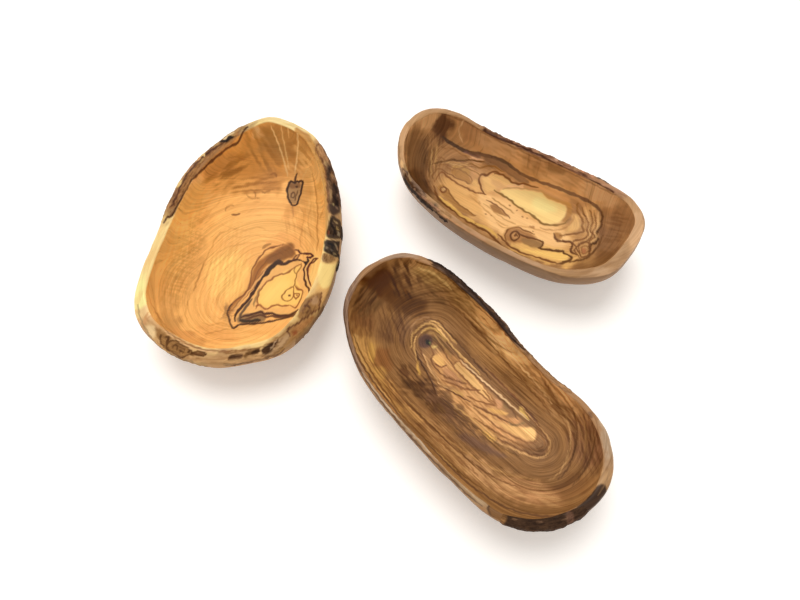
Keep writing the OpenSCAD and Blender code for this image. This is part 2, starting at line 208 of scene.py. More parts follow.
class Dish:
    """The surface of one dish in the row frame, as a grid of rings from base to deepest point."""

    def __init__(self, name, sizes):
        self.name = name
        self.sizes = sizes
        self.shape = SHAPES[name]
        self.node = name + "_dish_wood"
        self.body = name + "_dish"
        self.half = np.array([sizes.length, sizes.width]) / 2
        self.place_rim()
        self.make_grid()
        self.set_down()

    def place_rim(self):
        """The rim edge in plan, the way inwards from it, and each point's bearing."""
        rows = np.array(self.shape["rim"])
        count = len(rows)
        at = np.arange(AROUND) * count / AROUND
        k = at.astype(int)
        t = (at - k)[:, None]
        a, b, c, e = (rows[(k + step) % count] for step in (-1, 0, 1, 2))
        smooth = between(a, b, c, e, t)
        self.edge = smooth[:, :2] * self.half
        self.crest = smooth[:, 2] * self.sizes.height
        self.band = smooth[:, 3] * self.sizes.band
        reach = AROUND // (count * STATION_STEPS)
        along = np.roll(self.edge, -reach, 0) - np.roll(self.edge, reach, 0)
        along /= np.linalg.norm(along, axis=1)[:, None]
        self.inwards = np.stack([-along[:, 1], along[:, 0]], 1)
        self.bearing = np.arctan2(self.edge[:, 1] / self.half[1], self.edge[:, 0] / self.half[0])

    def oval(self, half):
        """An oval ring in plan, with a point at the bearing of each rim point."""
        return np.stack([half[0] * np.cos(self.bearing), half[1] * np.sin(self.bearing)], 1)

    def wall(self, v):
        """The ring on the outer wall, v from 0 at the base to 1 at the rim edge."""
        _, near, far = self.shape["fullness"]
        power = 2 / (near + (far - near) * (1 + np.sin(self.bearing)) / 2)
        foot = self.half * self.shape["base_place"] + self.oval(self.half * self.shape["base"])
        out = math.sin(math.pi / 2 * v) ** power
        top = self.crest - self.band * self.shape["fall"]
        rise = top * (1 - max(math.cos(math.pi / 2 * v), 0) ** power)
        return np.column_stack([foot + (self.edge - foot) * out[:, None], rise])

    def rim(self, s):
        """The ring over the rim band, s from 0 at the rim edge to the lip."""
        rise = np.interp(s, *zip(*BAND_CURVE))
        plan = self.edge + self.inwards * (self.band * s)[:, None]
        height = self.crest - self.band * self.shape["fall"] * (1 - rise)
        if s > TOP_SHARE:
            way = (s - TOP_SHARE) / (LIP_SHARE - TOP_SHARE)
            height = height - LIP_FALL * way
        return np.column_stack([plan, height])

    def hollow(self, s):
        """The ring down the hollow, s from 1 at the lip to 0 at the deepest point."""
        lip = self.edge + self.inwards * (self.band * LIP_SHARE)[:, None]
        plan = lip * s ** 2 + self.oval(self.half * LOW_OVAL_SHARE) * (1 - s ** 2)
        plan = plan * s + self.half * self.shape["deep_place"] * (1 - s ** 4)
        power = self.shape["fullness"][0]
        rise = 1 - (1 - s ** power) ** (1 / power)
        floor = self.sizes.floor
        return np.column_stack([plan, floor + (self.crest - LIP_FALL - floor) * rise])

    def hollow_steps(self):
        """Shares down the hollow whose rings lie evenly along its slope."""
        power = self.shape["fullness"][0]
        s = 1 - np.linspace(0, 1, SLOPE_SAMPLES) ** 2
        wide = self.half.mean() * s
        deep = (self.sizes.height - self.sizes.floor) * (1 - (1 - s ** power) ** (1 / power))
        run = np.concatenate([[0], np.cumsum(np.hypot(np.diff(wide), np.diff(deep)))])
        count = int(run[-1] / RING_STEP)
        return np.interp(np.arange(1, count) * run[-1] / count, run, s)

    def make_grid(self):
        """Every ring at full count, the zone of each, and smoothed corners at the rim."""
        foot = self.wall(0)
        middle = np.append(self.half * self.shape["base_place"], 0)
        grid = [middle + (foot - middle) * share for share in BASE_SHARES]
        zone = ["base"] * len(grid)
        grid += [self.wall(v) for v in np.linspace(0, 1, WALL_RINGS)]
        zone += ["wall"] * WALL_RINGS
        grid += [self.rim(s) for s in np.linspace(0, LIP_SHARE, BAND_RINGS + 2)[1:]]
        zone += ["band"] * (BAND_RINGS + 1)
        steps = self.hollow_steps()
        grid += [self.hollow(s) for s in steps]
        zone += ["hollow"] * len(steps)
        self.grid = np.array(grid)
        self.zone = np.array(zone)
        self.deep = np.append(self.half * self.shape["deep_place"], self.sizes.floor)
        self.foot = middle
        first = len(BASE_SHARES) + WALL_RINGS - SMOOTHED_ON_WALL
        end = first + SMOOTHED_ON_WALL + BAND_RINGS + 1 + SMOOTHED_IN_HOLLOW
        for _ in range(RIM_SMOOTHINGS):
            above, below = self.grid[first - 1:end - 1], self.grid[first + 1:end + 1]
            self.grid[first:end] = (above + 2 * self.grid[first:end] + below) / 4

    def set_down(self):
        """Turns the dish and moves it to where its CAD node stands."""
        turn = self.sizes.turn
        spin = np.array([[math.cos(turn), -math.sin(turn)], [math.sin(turn), math.cos(turn)]])
        low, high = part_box(self.node)
        rim = self.edge @ spin.T
        self.spin = spin
        self.shift = np.array((low + high) / 2)[:2] - (rim.min(0) + rim.max(0)) / 2
        self.grid[..., :2] = self.grid[..., :2] @ spin.T + self.shift
        self.deep[:2] = spin @ self.deep[:2] + self.shift
        self.foot[:2] = spin @ self.foot[:2] + self.shift
        round_way = np.roll(self.grid, -1, 1) - np.roll(self.grid, 1, 1)
        up_way = np.gradient(self.grid, axis=0)
        normal = np.cross(round_way, up_way)
        self.normal = normal / np.maximum(np.linalg.norm(normal, axis=2), 1e-12)[..., None]

    def counts(self):
        """How many points each ring keeps: half as many each time it has shrunk by half."""
        size = np.linalg.norm(self.grid - self.grid.mean(1)[:, None], axis=2).mean(1)
        halvings = np.floor(np.log2(size.max() / size)).astype(int)
        halvings[:len(BASE_SHARES) + PLAIN_RINGS] += 1
        halvings = np.minimum(halvings, MOST_HALVINGS)
        for ring in range(1, len(halvings)):
            halvings[ring] = min(halvings[ring], halvings[ring - 1] + 1)
        for ring in range(len(halvings) - 2, -1, -1):
            halvings[ring] = min(halvings[ring], halvings[ring + 1] + 1)
        return AROUND // 2 ** halvings


def bridge(first, count, second, other):
    """Faces between two closed rings, where one may have twice the points of the other."""
    faces = []
    if count == other:
        for i in range(count):
            j = (i + 1) % count
            faces.append((first + i, first + j, second + j, second + i))
    elif count == 2 * other:
        for i in range(other):
            j = (i + 1) % other
            a, b, c = first + 2 * i, first + 2 * i + 1, first + (2 * i + 2) % count
            faces += [(a, b, second + i), (b, second + j, second + i), (b, c, second + j)]
    elif other == 2 * count:
        for i in range(count):
            j = (i + 1) % count
            a, b, c = second + 2 * i, second + 2 * i + 1, second + (2 * i + 2) % other
            faces += [(first + i, b, a), (first + i, first + j, b), (first + j, c, b)]
    else:
        raise ValueError("neighbouring rings differ by more than half")
    return faces


def make_object(name, points, faces):
    """A smooth-shaded mesh object in the scene."""
    mesh = bpy.data.meshes.new(name)
    mesh.from_pydata(points.tolist(), [], faces)
    mesh.update()
    mesh.shade_smooth()
    piece = bpy.data.objects.new(name, mesh)
    bpy.context.scene.collection.objects.link(piece)
    return piece


def keep_vertex_values(piece, name, kind, values):
    """Stores one value for each vertex, which the material reads."""
    field = {"FLOAT": "value", "FLOAT_COLOR": "color", "FLOAT_VECTOR": "vector"}[kind]
    layer = piece.data.attributes.new(name, kind, "POINT")
    layer.data.foreach_set(field, np.ascontiguousarray(values, np.float32).ravel())


# Figure of the dishes, by places in the photograph's pixels, in the order in which it is painted.
# A wash is a soft oval: its middle, its half sizes, its turn in degrees, its shade and its
# strength. Where the shade is a number, the wash sets how strong the wood's streaks are there.
# Strokes are a wash of parallel marks along its turn: their spacing stands before the shade.
# A patch fills an outline: its shade, its strength, the softness of its edge and its points.
# A line runs through points: its width, its shade, its strength and its points, and True after
# them where it is closed.
# A few marks are painted shade, painted shadows or painted highlights; each is noted.
BARK_STRIP_PX = ((238, 133), (232, 141), (217, 152), (193, 174), (187, 183), (172, 208))
BARK_EDGE_PX = ((248, 127), (244, 131), (238, 142), (234, 145), (228, 148), (214, 159), (192, 180),
                (187, 188), (172, 215))
TONGUE_PX = ((453, 364), (458, 362), (463, 365), (480, 382), (496, 404), (491, 402), (467, 382),
             (453, 366))
ROUND_HOLLOW_WASHES_PX = dict(
    upper_wall=(250, 163, 52, 20, 4, "#c4813b", 0.95),
    top_wall=(282, 140, 34, 20, 16, "#9f6c37", 0.95),
    top_left=(248, 140, 14, 16, 0, "#b97c3c", 0.8),
    top_pale_blotch=(257, 131, 7, 6, 40, "#d0a068", 0.7),
    upper_left_wall=(216, 170, 26, 11, -42, "#a46c36", 0.85),
    upper_right=(308, 160, 12, 22, -14, "#ca9454", 0.9),
    upper_right_pale=(296, 170, 10, 9, 0, "#d39654", 0.8),
    shoulder=(236, 184, 40, 9, -4, "#d8954c", 0.85),
    shoulder_right=(268, 183, 14, 9, 10, "#c5833f", 0.8),
    left_edge=(190, 186, 14, 12, -45, "#c08a54", 0.8),
    left_wall=(187, 212, 14, 34, 28, "#d29a53", 0.9),
    left_wall_middle=(178, 245, 16, 36, 18, "#d9a158", 0.9),
    left_wall_dark=(166, 270, 10, 38, 10, "#ce9754", 0.9),
    left_wall_low=(166, 305, 11, 26, -8, "#cf9351", 0.85),
    left_corner=(170, 328, 14, 12, 40, "#c18849", 0.9),
    low_left=(190, 340, 22, 8, 28, "#cd8b4b", 0.85),
    left_slope=(192, 262, 10, 50, 14, "#dfa058", 0.7),
    floor_glow=(228, 275, 22, 24, 0, "#fdc86e", 0.85),
    floor_upper=(250, 228, 40, 14, 0, "#fabc6a", 0.6),
    low_floor=(255, 343, 26, 8, 0, "#ffbd6c", 0.85),
    low_floor_left=(215, 335, 22, 8, 10, "#efa65c", 0.7),
    low_right=(285, 330, 20, 8, -30, "#eca65c", 0.6),
    right_wall=(317, 205, 12, 40, 0, "#e1a65e", 0.8),
    right_wall_middle=(316, 240, 9, 20, 0, "#eaac61", 0.7),
    right_of_knot=(303, 190, 8, 16, 0, "#c58a4a", 0.8),
    under_knot=(292, 210, 7, 10, 0, "#dc9a52", 0.6),
    above_heart=(282, 243, 20, 8, 0, "#eda55b", 0.7),
    right_of_heart=(317, 275, 8, 22, 0, "#f2c070", 0.8),
    beside_heart_tip=(227, 312, 5, 9, 10, "#9a6c3c", 0.75),
    calm_heart=(272, 290, 40, 34, -35, 0.2, 1),
    calm_top=(280, 150, 50, 30, 10, 0.6, 1),
    calm_knot=(295, 190, 9, 12, 0, 0.2, 1))
ROUND_HOLLOW_STROKES_PX = dict(
    left_fibres=(184, 250, 16, 60, 14, 2.6, "#b98442", 0.45),
    left_fibres_upright=(180, 255, 60, 18, 104, 2.6, "#bb7d3a", 0.42),
    upper_fibres=(228, 178, 40, 12, -38, 3, "#b27334", 0.32),
    mottle_a=(226, 172, 28, 10, -30, 4.4, "#85521f", 0.75),
    mottle_b=(262, 150, 24, 16, 60, 4.4, "#8f5c28", 0.75),
    mottle_c=(256, 184, 30, 10, -8, 3.6, "#9c6228", 0.75),
    mottle_d=(300, 156, 16, 16, 50, 4, "#98622c", 0.55),
    mottle_e=(205, 205, 22, 20, -50, 4, "#c98843", 0.55),
    mottle_f=(300, 222, 16, 20, 80, 3.4, "#cf8c46", 0.45),
    upper_mottle=(262, 158, 34, 16, 12, 3.6, "#a96f33", 0.35),
    shoulder_fibres=(240, 205, 44, 14, -30, 3.4, "#e29c52", 0.35),
    right_fibres=(310, 215, 40, 12, 86, 3, "#cf8e48", 0.35),
    low_fibres=(225, 334, 40, 12, -4, 3.4, "#dd984e", 0.4),
    floor_fibres=(225, 285, 60, 26, 100, 3.4, "#e59f50", 0.4))
ROUND_HOLLOW_PATCHES_PX = dict(
    top_shade_a=("#93632f", 0.55, 3, (
        (262, 128), (272, 127), (279, 140), (284, 156), (276, 150), (268, 142))),
    top_shade_b=("#9a6933", 0.5, 3, ((300, 132), (310, 142), (316, 154), (306, 152), (299, 144))),
    upper_smear=("#9b6430", 0.6, 2.5, ((205, 171), (214, 170), (217, 176), (208, 178))),
    right_wedge=("#c0863f", 0.6, 1.5, ((316, 184), (326, 181), (327, 187), (318, 190))),
    right_wedge_low=("#c58a46", 0.6, 1.5, ((317, 195), (326, 197), (325, 203), (319, 205))),
    heart_band=("#9c5f2a", 0.92, 1.8, (
        (228, 314), (232, 305), (247, 289), (250, 282), (253, 272), (258, 262), (276, 250), (291, 243),
        (295, 252), (292, 257), (270, 264), (260, 275), (252, 288), (232, 308), (230, 315))),
    heart_band_dark=("#84542a", 0.8, 3, (
        (268, 256), (286, 245), (292, 244), (294, 252), (290, 258), (268, 264))),
    heart_pale=("#eeb064", 1, 1.2, (
        (236, 318), (237, 312), (244, 305), (262, 278), (274, 266), (294, 261), (302, 262), (305, 284),
        (308, 292), (301, 306), (295, 312), (282, 315), (262, 314), (246, 318))),
    heart_gold=("#fac468", 1, 1.6, (
        (258, 304), (258, 299), (262, 288), (280, 274), (300, 266), (301, 268), (297, 274), (297, 280),
        (302, 294), (299, 303), (293, 305), (270, 308))),
    heart_bright=("#fdd376", 0.6, 5, (
        (262, 300), (266, 290), (276, 284), (286, 280), (290, 286), (270, 304))),
    heart_stem=("#b97f3e", 0.7, 0.8, ((295, 284), (300, 289), (302.5, 290.5), (297, 290))),
    heart_right_pale=("#eab36a", 0.9, 1, (
        (306, 263), (308, 264), (307, 272), (308, 281), (311, 288), (309, 291), (306, 284), (305, 272))),
    heart_smear=("#7c5c3c", 0.8, 1.6, (
        (237, 318), (244, 314), (254, 314), (262, 312), (266, 316), (262, 322), (246, 323), (238, 322))),
    knot_fill=("#a47a4e", 0.95, 0.8, (
        (289, 184), (300, 183), (300, 190), (296, 203), (292, 203), (289, 197), (288, 190))),
    knot_brown=("#7c5230", 0.8, 1, ((289, 183), (300, 183), (300, 187.5), (294, 188.5), (288, 187))))
ROUND_HOLLOW_LINES_PX = dict(
    heart_main=(2.6, "#452817", 1, (
        (304, 262), (300, 260), (295, 260), (283, 264), (277, 264), (273, 266), (262, 278), (250, 297),
        (238, 311), (235, 317), (235, 321))),
    band_outer=(1.3, "#784420", 0.85, (
        (284, 244), (274, 247), (265, 251), (253, 268), (248, 289), (233, 303), (229, 311))),
    band_middle=(1.1, "#7d4c24", 0.75, (
        (290, 248), (270, 258), (262, 266), (256, 275), (252, 286), (231, 311))),
    band_inner=(1.2, "#6b3c1c", 0.85, (
        (280, 259), (273, 264), (260, 276), (252, 289), (234, 310), (231, 317), (230, 323))),
    heart_thick=(4, "#3a2414", 0.95, ((282, 262), (276, 263), (262, 278))),
    heart_second=(2, "#4c382c", 0.8, ((252, 299), (240, 315), (241, 319))),
    heart_tip=(1.6, "#4c2e1a", 0.95, (
        (232, 304), (228, 310), (228, 316), (232, 327), (236, 327), (241, 324), (262, 323), (289, 317))),
    heart_tip_pale=(1.8, "#e9a963", 0.9, ((266, 270), (233, 312), (232, 320), (233, 325))),
    heart_foot_dark=(3.2, "#3a2a1c", 0.95, ((240, 320), (245, 321), (260, 320))),
    heart_foot=(2.2, "#4a2a1a", 0.95, (
        (241, 317), (260, 312), (265, 314), (272, 313), (276, 315), (289, 315), (298, 309))),
    heart_foot_low=(1.8, "#5a3420", 0.9, (
        (245, 319), (260, 315), (266, 317), (272, 316), (278, 317), (291, 316), (298, 312))),
    heart_inner=(1.3, "#8a5028", 0.9, (
        (301, 264), (297, 266), (285, 274), (280, 274), (264, 285), (257, 299), (258, 304), (256, 308))),
    heart_inner_green=(1.6, "#86653a", 0.7, ((260, 288), (255, 300), (254, 306))),
    heart_inner_right=(1.1, "#8a5a28", 0.85, ((301, 264), (301, 268), (297, 273), (295, 283), (293, 287))),
    heart_inner_corner=(1, "#9a6a34", 0.8, ((295.5, 267), (294.5, 270.5), (296, 274.5))),
    heart_inner_foot=(1.5, "#8a4a28", 0.9, (
        (256, 306), (260, 305), (265, 309), (276, 305), (283, 306), (289, 305))),
    lens_left=(1, "#8a5426", 0.9, ((293, 287), (284, 293), (282, 299), (287, 301), (293, 297)), True),
    lens_dot=(2.2, "#5a3418", 0.9, ((289, 296), (290, 295))),
    lens_right=(1, "#8a5028", 0.9, (
        (294, 294), (296.5, 293.5), (299.5, 294), (298, 297.5), (296, 299.5), (294.5, 298)), True),
    lens_right_dot=(1.8, "#985a30", 0.9, ((297, 296), (297, 295))),
    lens_wing=(1, "#8a5028", 0.9, (
        (295, 286), (298, 289), (303, 291), (302, 295), (299, 303), (295, 308), (293, 307), (290, 305))),
    heart_right_a=(1.7, "#4a2a1c", 0.95, ((306, 262), (304, 272), (306, 285), (309, 289), (309, 293))),
    heart_right_b=(1.7, "#5a2e20", 0.95, ((311, 262), (309, 266), (308, 270), (308, 276), (311, 286))),
    barb=(1.6, "#4a2018", 0.95, (
        (295, 250), (298, 250), (300, 253), (311, 254), (313, 256), (311, 258), (307, 257), (308, 256))),
    barb_tail=(1.2, "#4a2018", 0.9, ((317.5, 258.5), (314, 259), (310, 264), (312.5, 263)), True),
    barb_inner=(1.2, "#5a3020", 0.85, (
        (292.5, 260), (296, 256), (299.5, 254.5), (298.5, 257), (295.5, 260)), True),
    barb_knot=(2.2, "#33221a", 0.9, ((304, 262), (306, 264), (308, 260.5), (307.5, 258.5))),
    heart_smudge=(2.4, "#8d5f2e", 0.6, ((262.5, 248.5), (266, 245.5), (270.5, 243.5))),
    knot=(1.8, "#3c2414", 1, (
        (289, 183), (291, 181), (294, 183), (296, 181), (299, 182), (302, 181), (302, 187), (297, 204),
        (292, 205), (290, 202), (287, 193)), True),
    knot_spike=(1.5, "#4a2c18", 0.95, ((297, 173.5), (294.5, 182))),
    knot_eye=(2.6, "#3a2414", 0.95, ((296.5, 186.5), (297.5, 187))),
    knot_ring=(1.1, "#5c3c22", 0.9, (
        (291, 193.5), (293, 192), (295, 194.5), (293.5, 197.5), (291, 197)), True),
    knot_crack=(1.1, "#5c3c22", 0.8, ((297.5, 191), (295, 200.5))),
    knot_foot=(1.4, "#a9703a", 0.6, ((292.5, 205), (293.5, 216))),
    dash=(1.4, "#6b4120", 0.9, ((232, 215), (240, 214))),
    dash_left=(1.1, "#a9713a", 0.6, ((226, 211), (227, 207), (231, 205), (234, 206))),
    speck_a=(1.5, "#8a5524", 0.75, ((271, 174), (274, 173), (277, 177))),
    speck_b=(1.3, "#a06830", 0.7, ((251, 190), (255, 193), (256, 197))),
    speck_c=(1.5, "#a06830", 0.7, ((261, 191), (265, 193), (270, 190))),
    speck_d=(1.2, "#a06830", 0.6, ((246, 195), (252, 198), (260, 198))),
    speck_e=(1, "#8a5524", 0.6, ((228, 158), (236, 157), (244, 160))),
    ray_left=(1.3, "#dcae70", 0.8, ((271, 126), (280, 148), (288, 176))),
    ray_middle=(1.1, "#d6a666", 0.75, ((281, 125), (289, 170))),
    ray_right=(1.3, "#dcae70", 0.8, ((297, 130), (298, 145), (295, 172))),
    ray_short=(1.1, "#cc9c5e", 0.7, ((288, 127), (289, 138))),
    ray_far=(1.1, "#cf9c5c", 0.6, ((318, 152), (310, 162), (302, 180))),
    growth_a=(1.2, "#cf9049", 0.65, (
        (236, 228), (224, 232), (215, 240), (189, 299), (186, 308), (186, 317), (190, 327), (199, 332))),
    growth_dark=(1.3, "#b0773a", 0.75, ((204, 263), (194, 290))),
    growth_b=(1.1, "#d8984f", 0.6, (
        (266, 240), (236, 245), (224, 249), (215, 256), (209, 268), (197, 305))),
    growth_c=(1.1, "#d99a52", 0.6, ((198, 238), (188, 268), (184, 286), (179, 300), (178, 312))),
    growth_d=(1.1, "#dd9e55", 0.55, (
        (222, 224), (234, 229), (248, 230), (258, 227), (270, 231), (284, 230))),
    growth_e=(1, "#dd9e55", 0.55, ((228, 236), (242, 237), (256, 235), (270, 237), (282, 235))),
    growth_f=(1, "#e0a052", 0.5, ((214, 278), (207, 303), (206, 316))),
    low_wave_a=(1.1, "#d08f48", 0.6, ((203, 323), (212, 325), (222, 323), (229, 326))),
    low_wave_b=(1.3, "#c98844", 0.65, ((205, 334), (228, 329))),
    low_wave_c=(1, "#d3934c", 0.55, ((208, 341), (222, 339), (238, 341))),
    right_upright=(1.3, "#b0763a", 0.75, (
        (312, 173), (315, 185), (318, 212), (317, 228), (318, 241), (316, 250))),
    right_upright_b=(1.1, "#c58846", 0.6, ((300, 206), (304, 218), (300, 242), (305, 250))),
    right_upright_c=(1.1, "#c98c48", 0.6, ((310, 190), (311, 205), (308, 222), (311, 236))),
    right_arc=(1.2, "#b87c3c", 0.65, ((327, 200), (320, 219))),
    lip_shade=(1.4, "#a9713a", 0.7, (
        (149, 268), (148, 285), (150, 300), (157, 314), (166, 326), (178, 337), (194, 346), (212, 350),
        (232, 350), (252, 347))),
    bark_strip=(5, "#9e6c3e", 0.85, BARK_STRIP_PX),
    bark_edge=(1.9, "#55321c", 0.95, BARK_EDGE_PX))
ROUND_BAND_WASHES_PX = dict(
    top=(285, 121, 44, 12, 12, "#f2d595", 0.9),
    top_left=(252, 123, 12, 7, -20, "#f0cf85", 0.8),
    left=(150, 262, 16, 56, 16, "#fad78f", 0.95),
    left_low=(141, 296, 12, 20, 0, "#fcef9c", 0.9),
    left_end=(146, 320, 10, 12, 30, "#f0c58c", 0.9),
    low_left=(166, 342, 40, 14, 36, "#ce9f69", 0.9),
    low=(240, 359, 60, 10, 0, "#be9161", 0.9),
    low_right=(296, 340, 34, 18, -45, "#9f7342", 0.9),
    low_right_pale=(312, 322, 14, 5, -50, "#d3a566", 0.5),
    right_low=(328, 300, 16, 18, -60, "#cf9a5c", 0.85),
    right=(328, 276, 12, 14, 30, "#edb767", 0.98),
    right_gap=(335, 214, 8, 5, 30, "#e3ae72", 0.9),
    right_under=(338, 262, 6, 8, 0, "#c99558", 0.85),
    bark_back=(205, 172, 60, 12, -47, "#865831", 0.97),
    bark_right=(333, 186, 9, 30, -8, "#4e3424", 0.95),
    bark_right_top=(324, 153, 8, 14, -25, "#ab7a50", 0.97))
ROUND_BAND_STROKES_PX = dict(
    low_texture=(240, 361, 62, 8, 2, 2.6, "#96693f", 0.5),
    low_left_texture=(164, 344, 44, 12, 38, 2.6, "#a87648", 0.45),
    low_right_texture=(306, 334, 40, 10, -48, 2.6, "#86592f", 0.5),
    top_texture=(285, 120, 44, 8, 12, 3, "#d8b06c", 0.4),
    left_texture=(147, 270, 60, 12, 106, 3.4, "#eeb873", 0.4),
    bark_back_fibres=(208, 170, 60, 12, -47, 2.6, "#5a3a28", 0.5),
    bark_back_pale=(205, 172, 56, 10, -47, 4.4, "#a87a58", 0.35),
    bark_right_flecks=(333, 190, 24, 8, 60, 3.2, "#a5825c", 0.4))
ROUND_BAND_PATCHES_PX = dict(
    wall_over_band=("#bf8747", 0.97, 1.2, (
        (296, 128), (306, 133), (312, 140), (325, 170), (329, 213), (323, 244), (318, 244), (318, 214),
        (314, 190), (306, 160), (296, 138))),
    right_dark_a=("#39261b", 0.9, 1.5, (
        (328, 166), (334, 170), (338, 184), (340, 200), (340, 212), (330, 213), (327, 182))),
    right_brown=("#7d5637", 0.8, 1.5, ((330, 172), (336, 176), (338, 186), (332, 187))),
    right_column=("#96704e", 0.8, 1, ((326, 182), (331, 184), (331, 204), (328, 204))),
    chip=("#3f2c1d", 0.97, 1, (
        (331, 216), (336, 218), (342, 224), (342, 238), (335, 239), (327, 237), (327, 230))),
    corner=("#33251a", 0.97, 1, ((326, 240), (340, 241), (340, 256), (333, 257), (325, 252), (324, 246))),
    corner_foot=("#90683f", 0.95, 1, (
        (323, 254), (330, 255.5), (335.5, 259), (331.5, 262.5), (322.5, 261.5))),
    right_light=("#f8d685", 0.9, 1.5, (
        (320, 264), (332, 264), (339, 262), (336, 276), (330, 286), (322, 288), (318, 278))),
    side_upper=("#93673a", 0.95, 1.2, (
        (304, 300), (321, 292), (321, 298), (319, 305), (316, 310), (300, 320), (298, 318), (300, 308))),
    side_pale=("#b98e66", 0.8, 2, ((311, 299), (317, 296), (318, 303), (312, 305))),
    side_lower=("#a36e3e", 0.92, 1.5, (
        (290, 331), (296, 325), (303, 321), (312, 316), (314, 317), (309, 323), (296, 334), (291, 335))),
    side_rust=("#8a4a28", 0.85, 1.2, ((292, 332), (296, 330.5), (297, 333.5), (293, 335))),
    front_tan=("#b58e64", 0.9, 1.6, (
        (289, 334), (284, 336), (263, 350), (266, 355), (273, 354), (279, 349), (289, 339))),
    lip_brown=("#c8955f", 0.75, 1.6, (
        (152, 316), (175, 335), (187, 342), (200, 348), (216, 351), (216, 353), (200, 352), (186, 346),
        (172, 338), (154, 324))),
    front_dark_a=("#4a2f1c", 0.95, 0.8, (
        (228, 359), (230, 356), (235, 354), (243, 354), (243, 356), (240, 358))),
    front_dark_b=("#6d4a28", 0.95, 0.9, ((244, 357), (245, 353), (260, 348), (260, 351), (249, 356))),
    front_dark_c=("#3f2716", 0.9, 0.7, ((251, 352.5), (259.5, 349), (260, 351), (252, 354.5))),
    front_dark_d=("#3d2616", 0.95, 1, (
        (262, 353), (262.5, 348), (267, 345.5), (271, 342), (274, 342), (271, 351), (266, 353.5))),
    front_dark_e=("#553620", 0.95, 0.8, (
        (271.5, 345), (275, 340.5), (278.5, 340), (277, 344), (272.5, 348))),
    left_brown=("#94683a", 0.95, 1.4, (
        (157, 328), (193, 351), (206, 354), (203, 356), (192, 354), (184, 356), (176, 354), (165, 347),
        (157, 336))),
    left_pale=("#f2d09a", 0.8, 2, ((146, 326), (153, 326), (156, 334), (153, 338), (147, 333))))
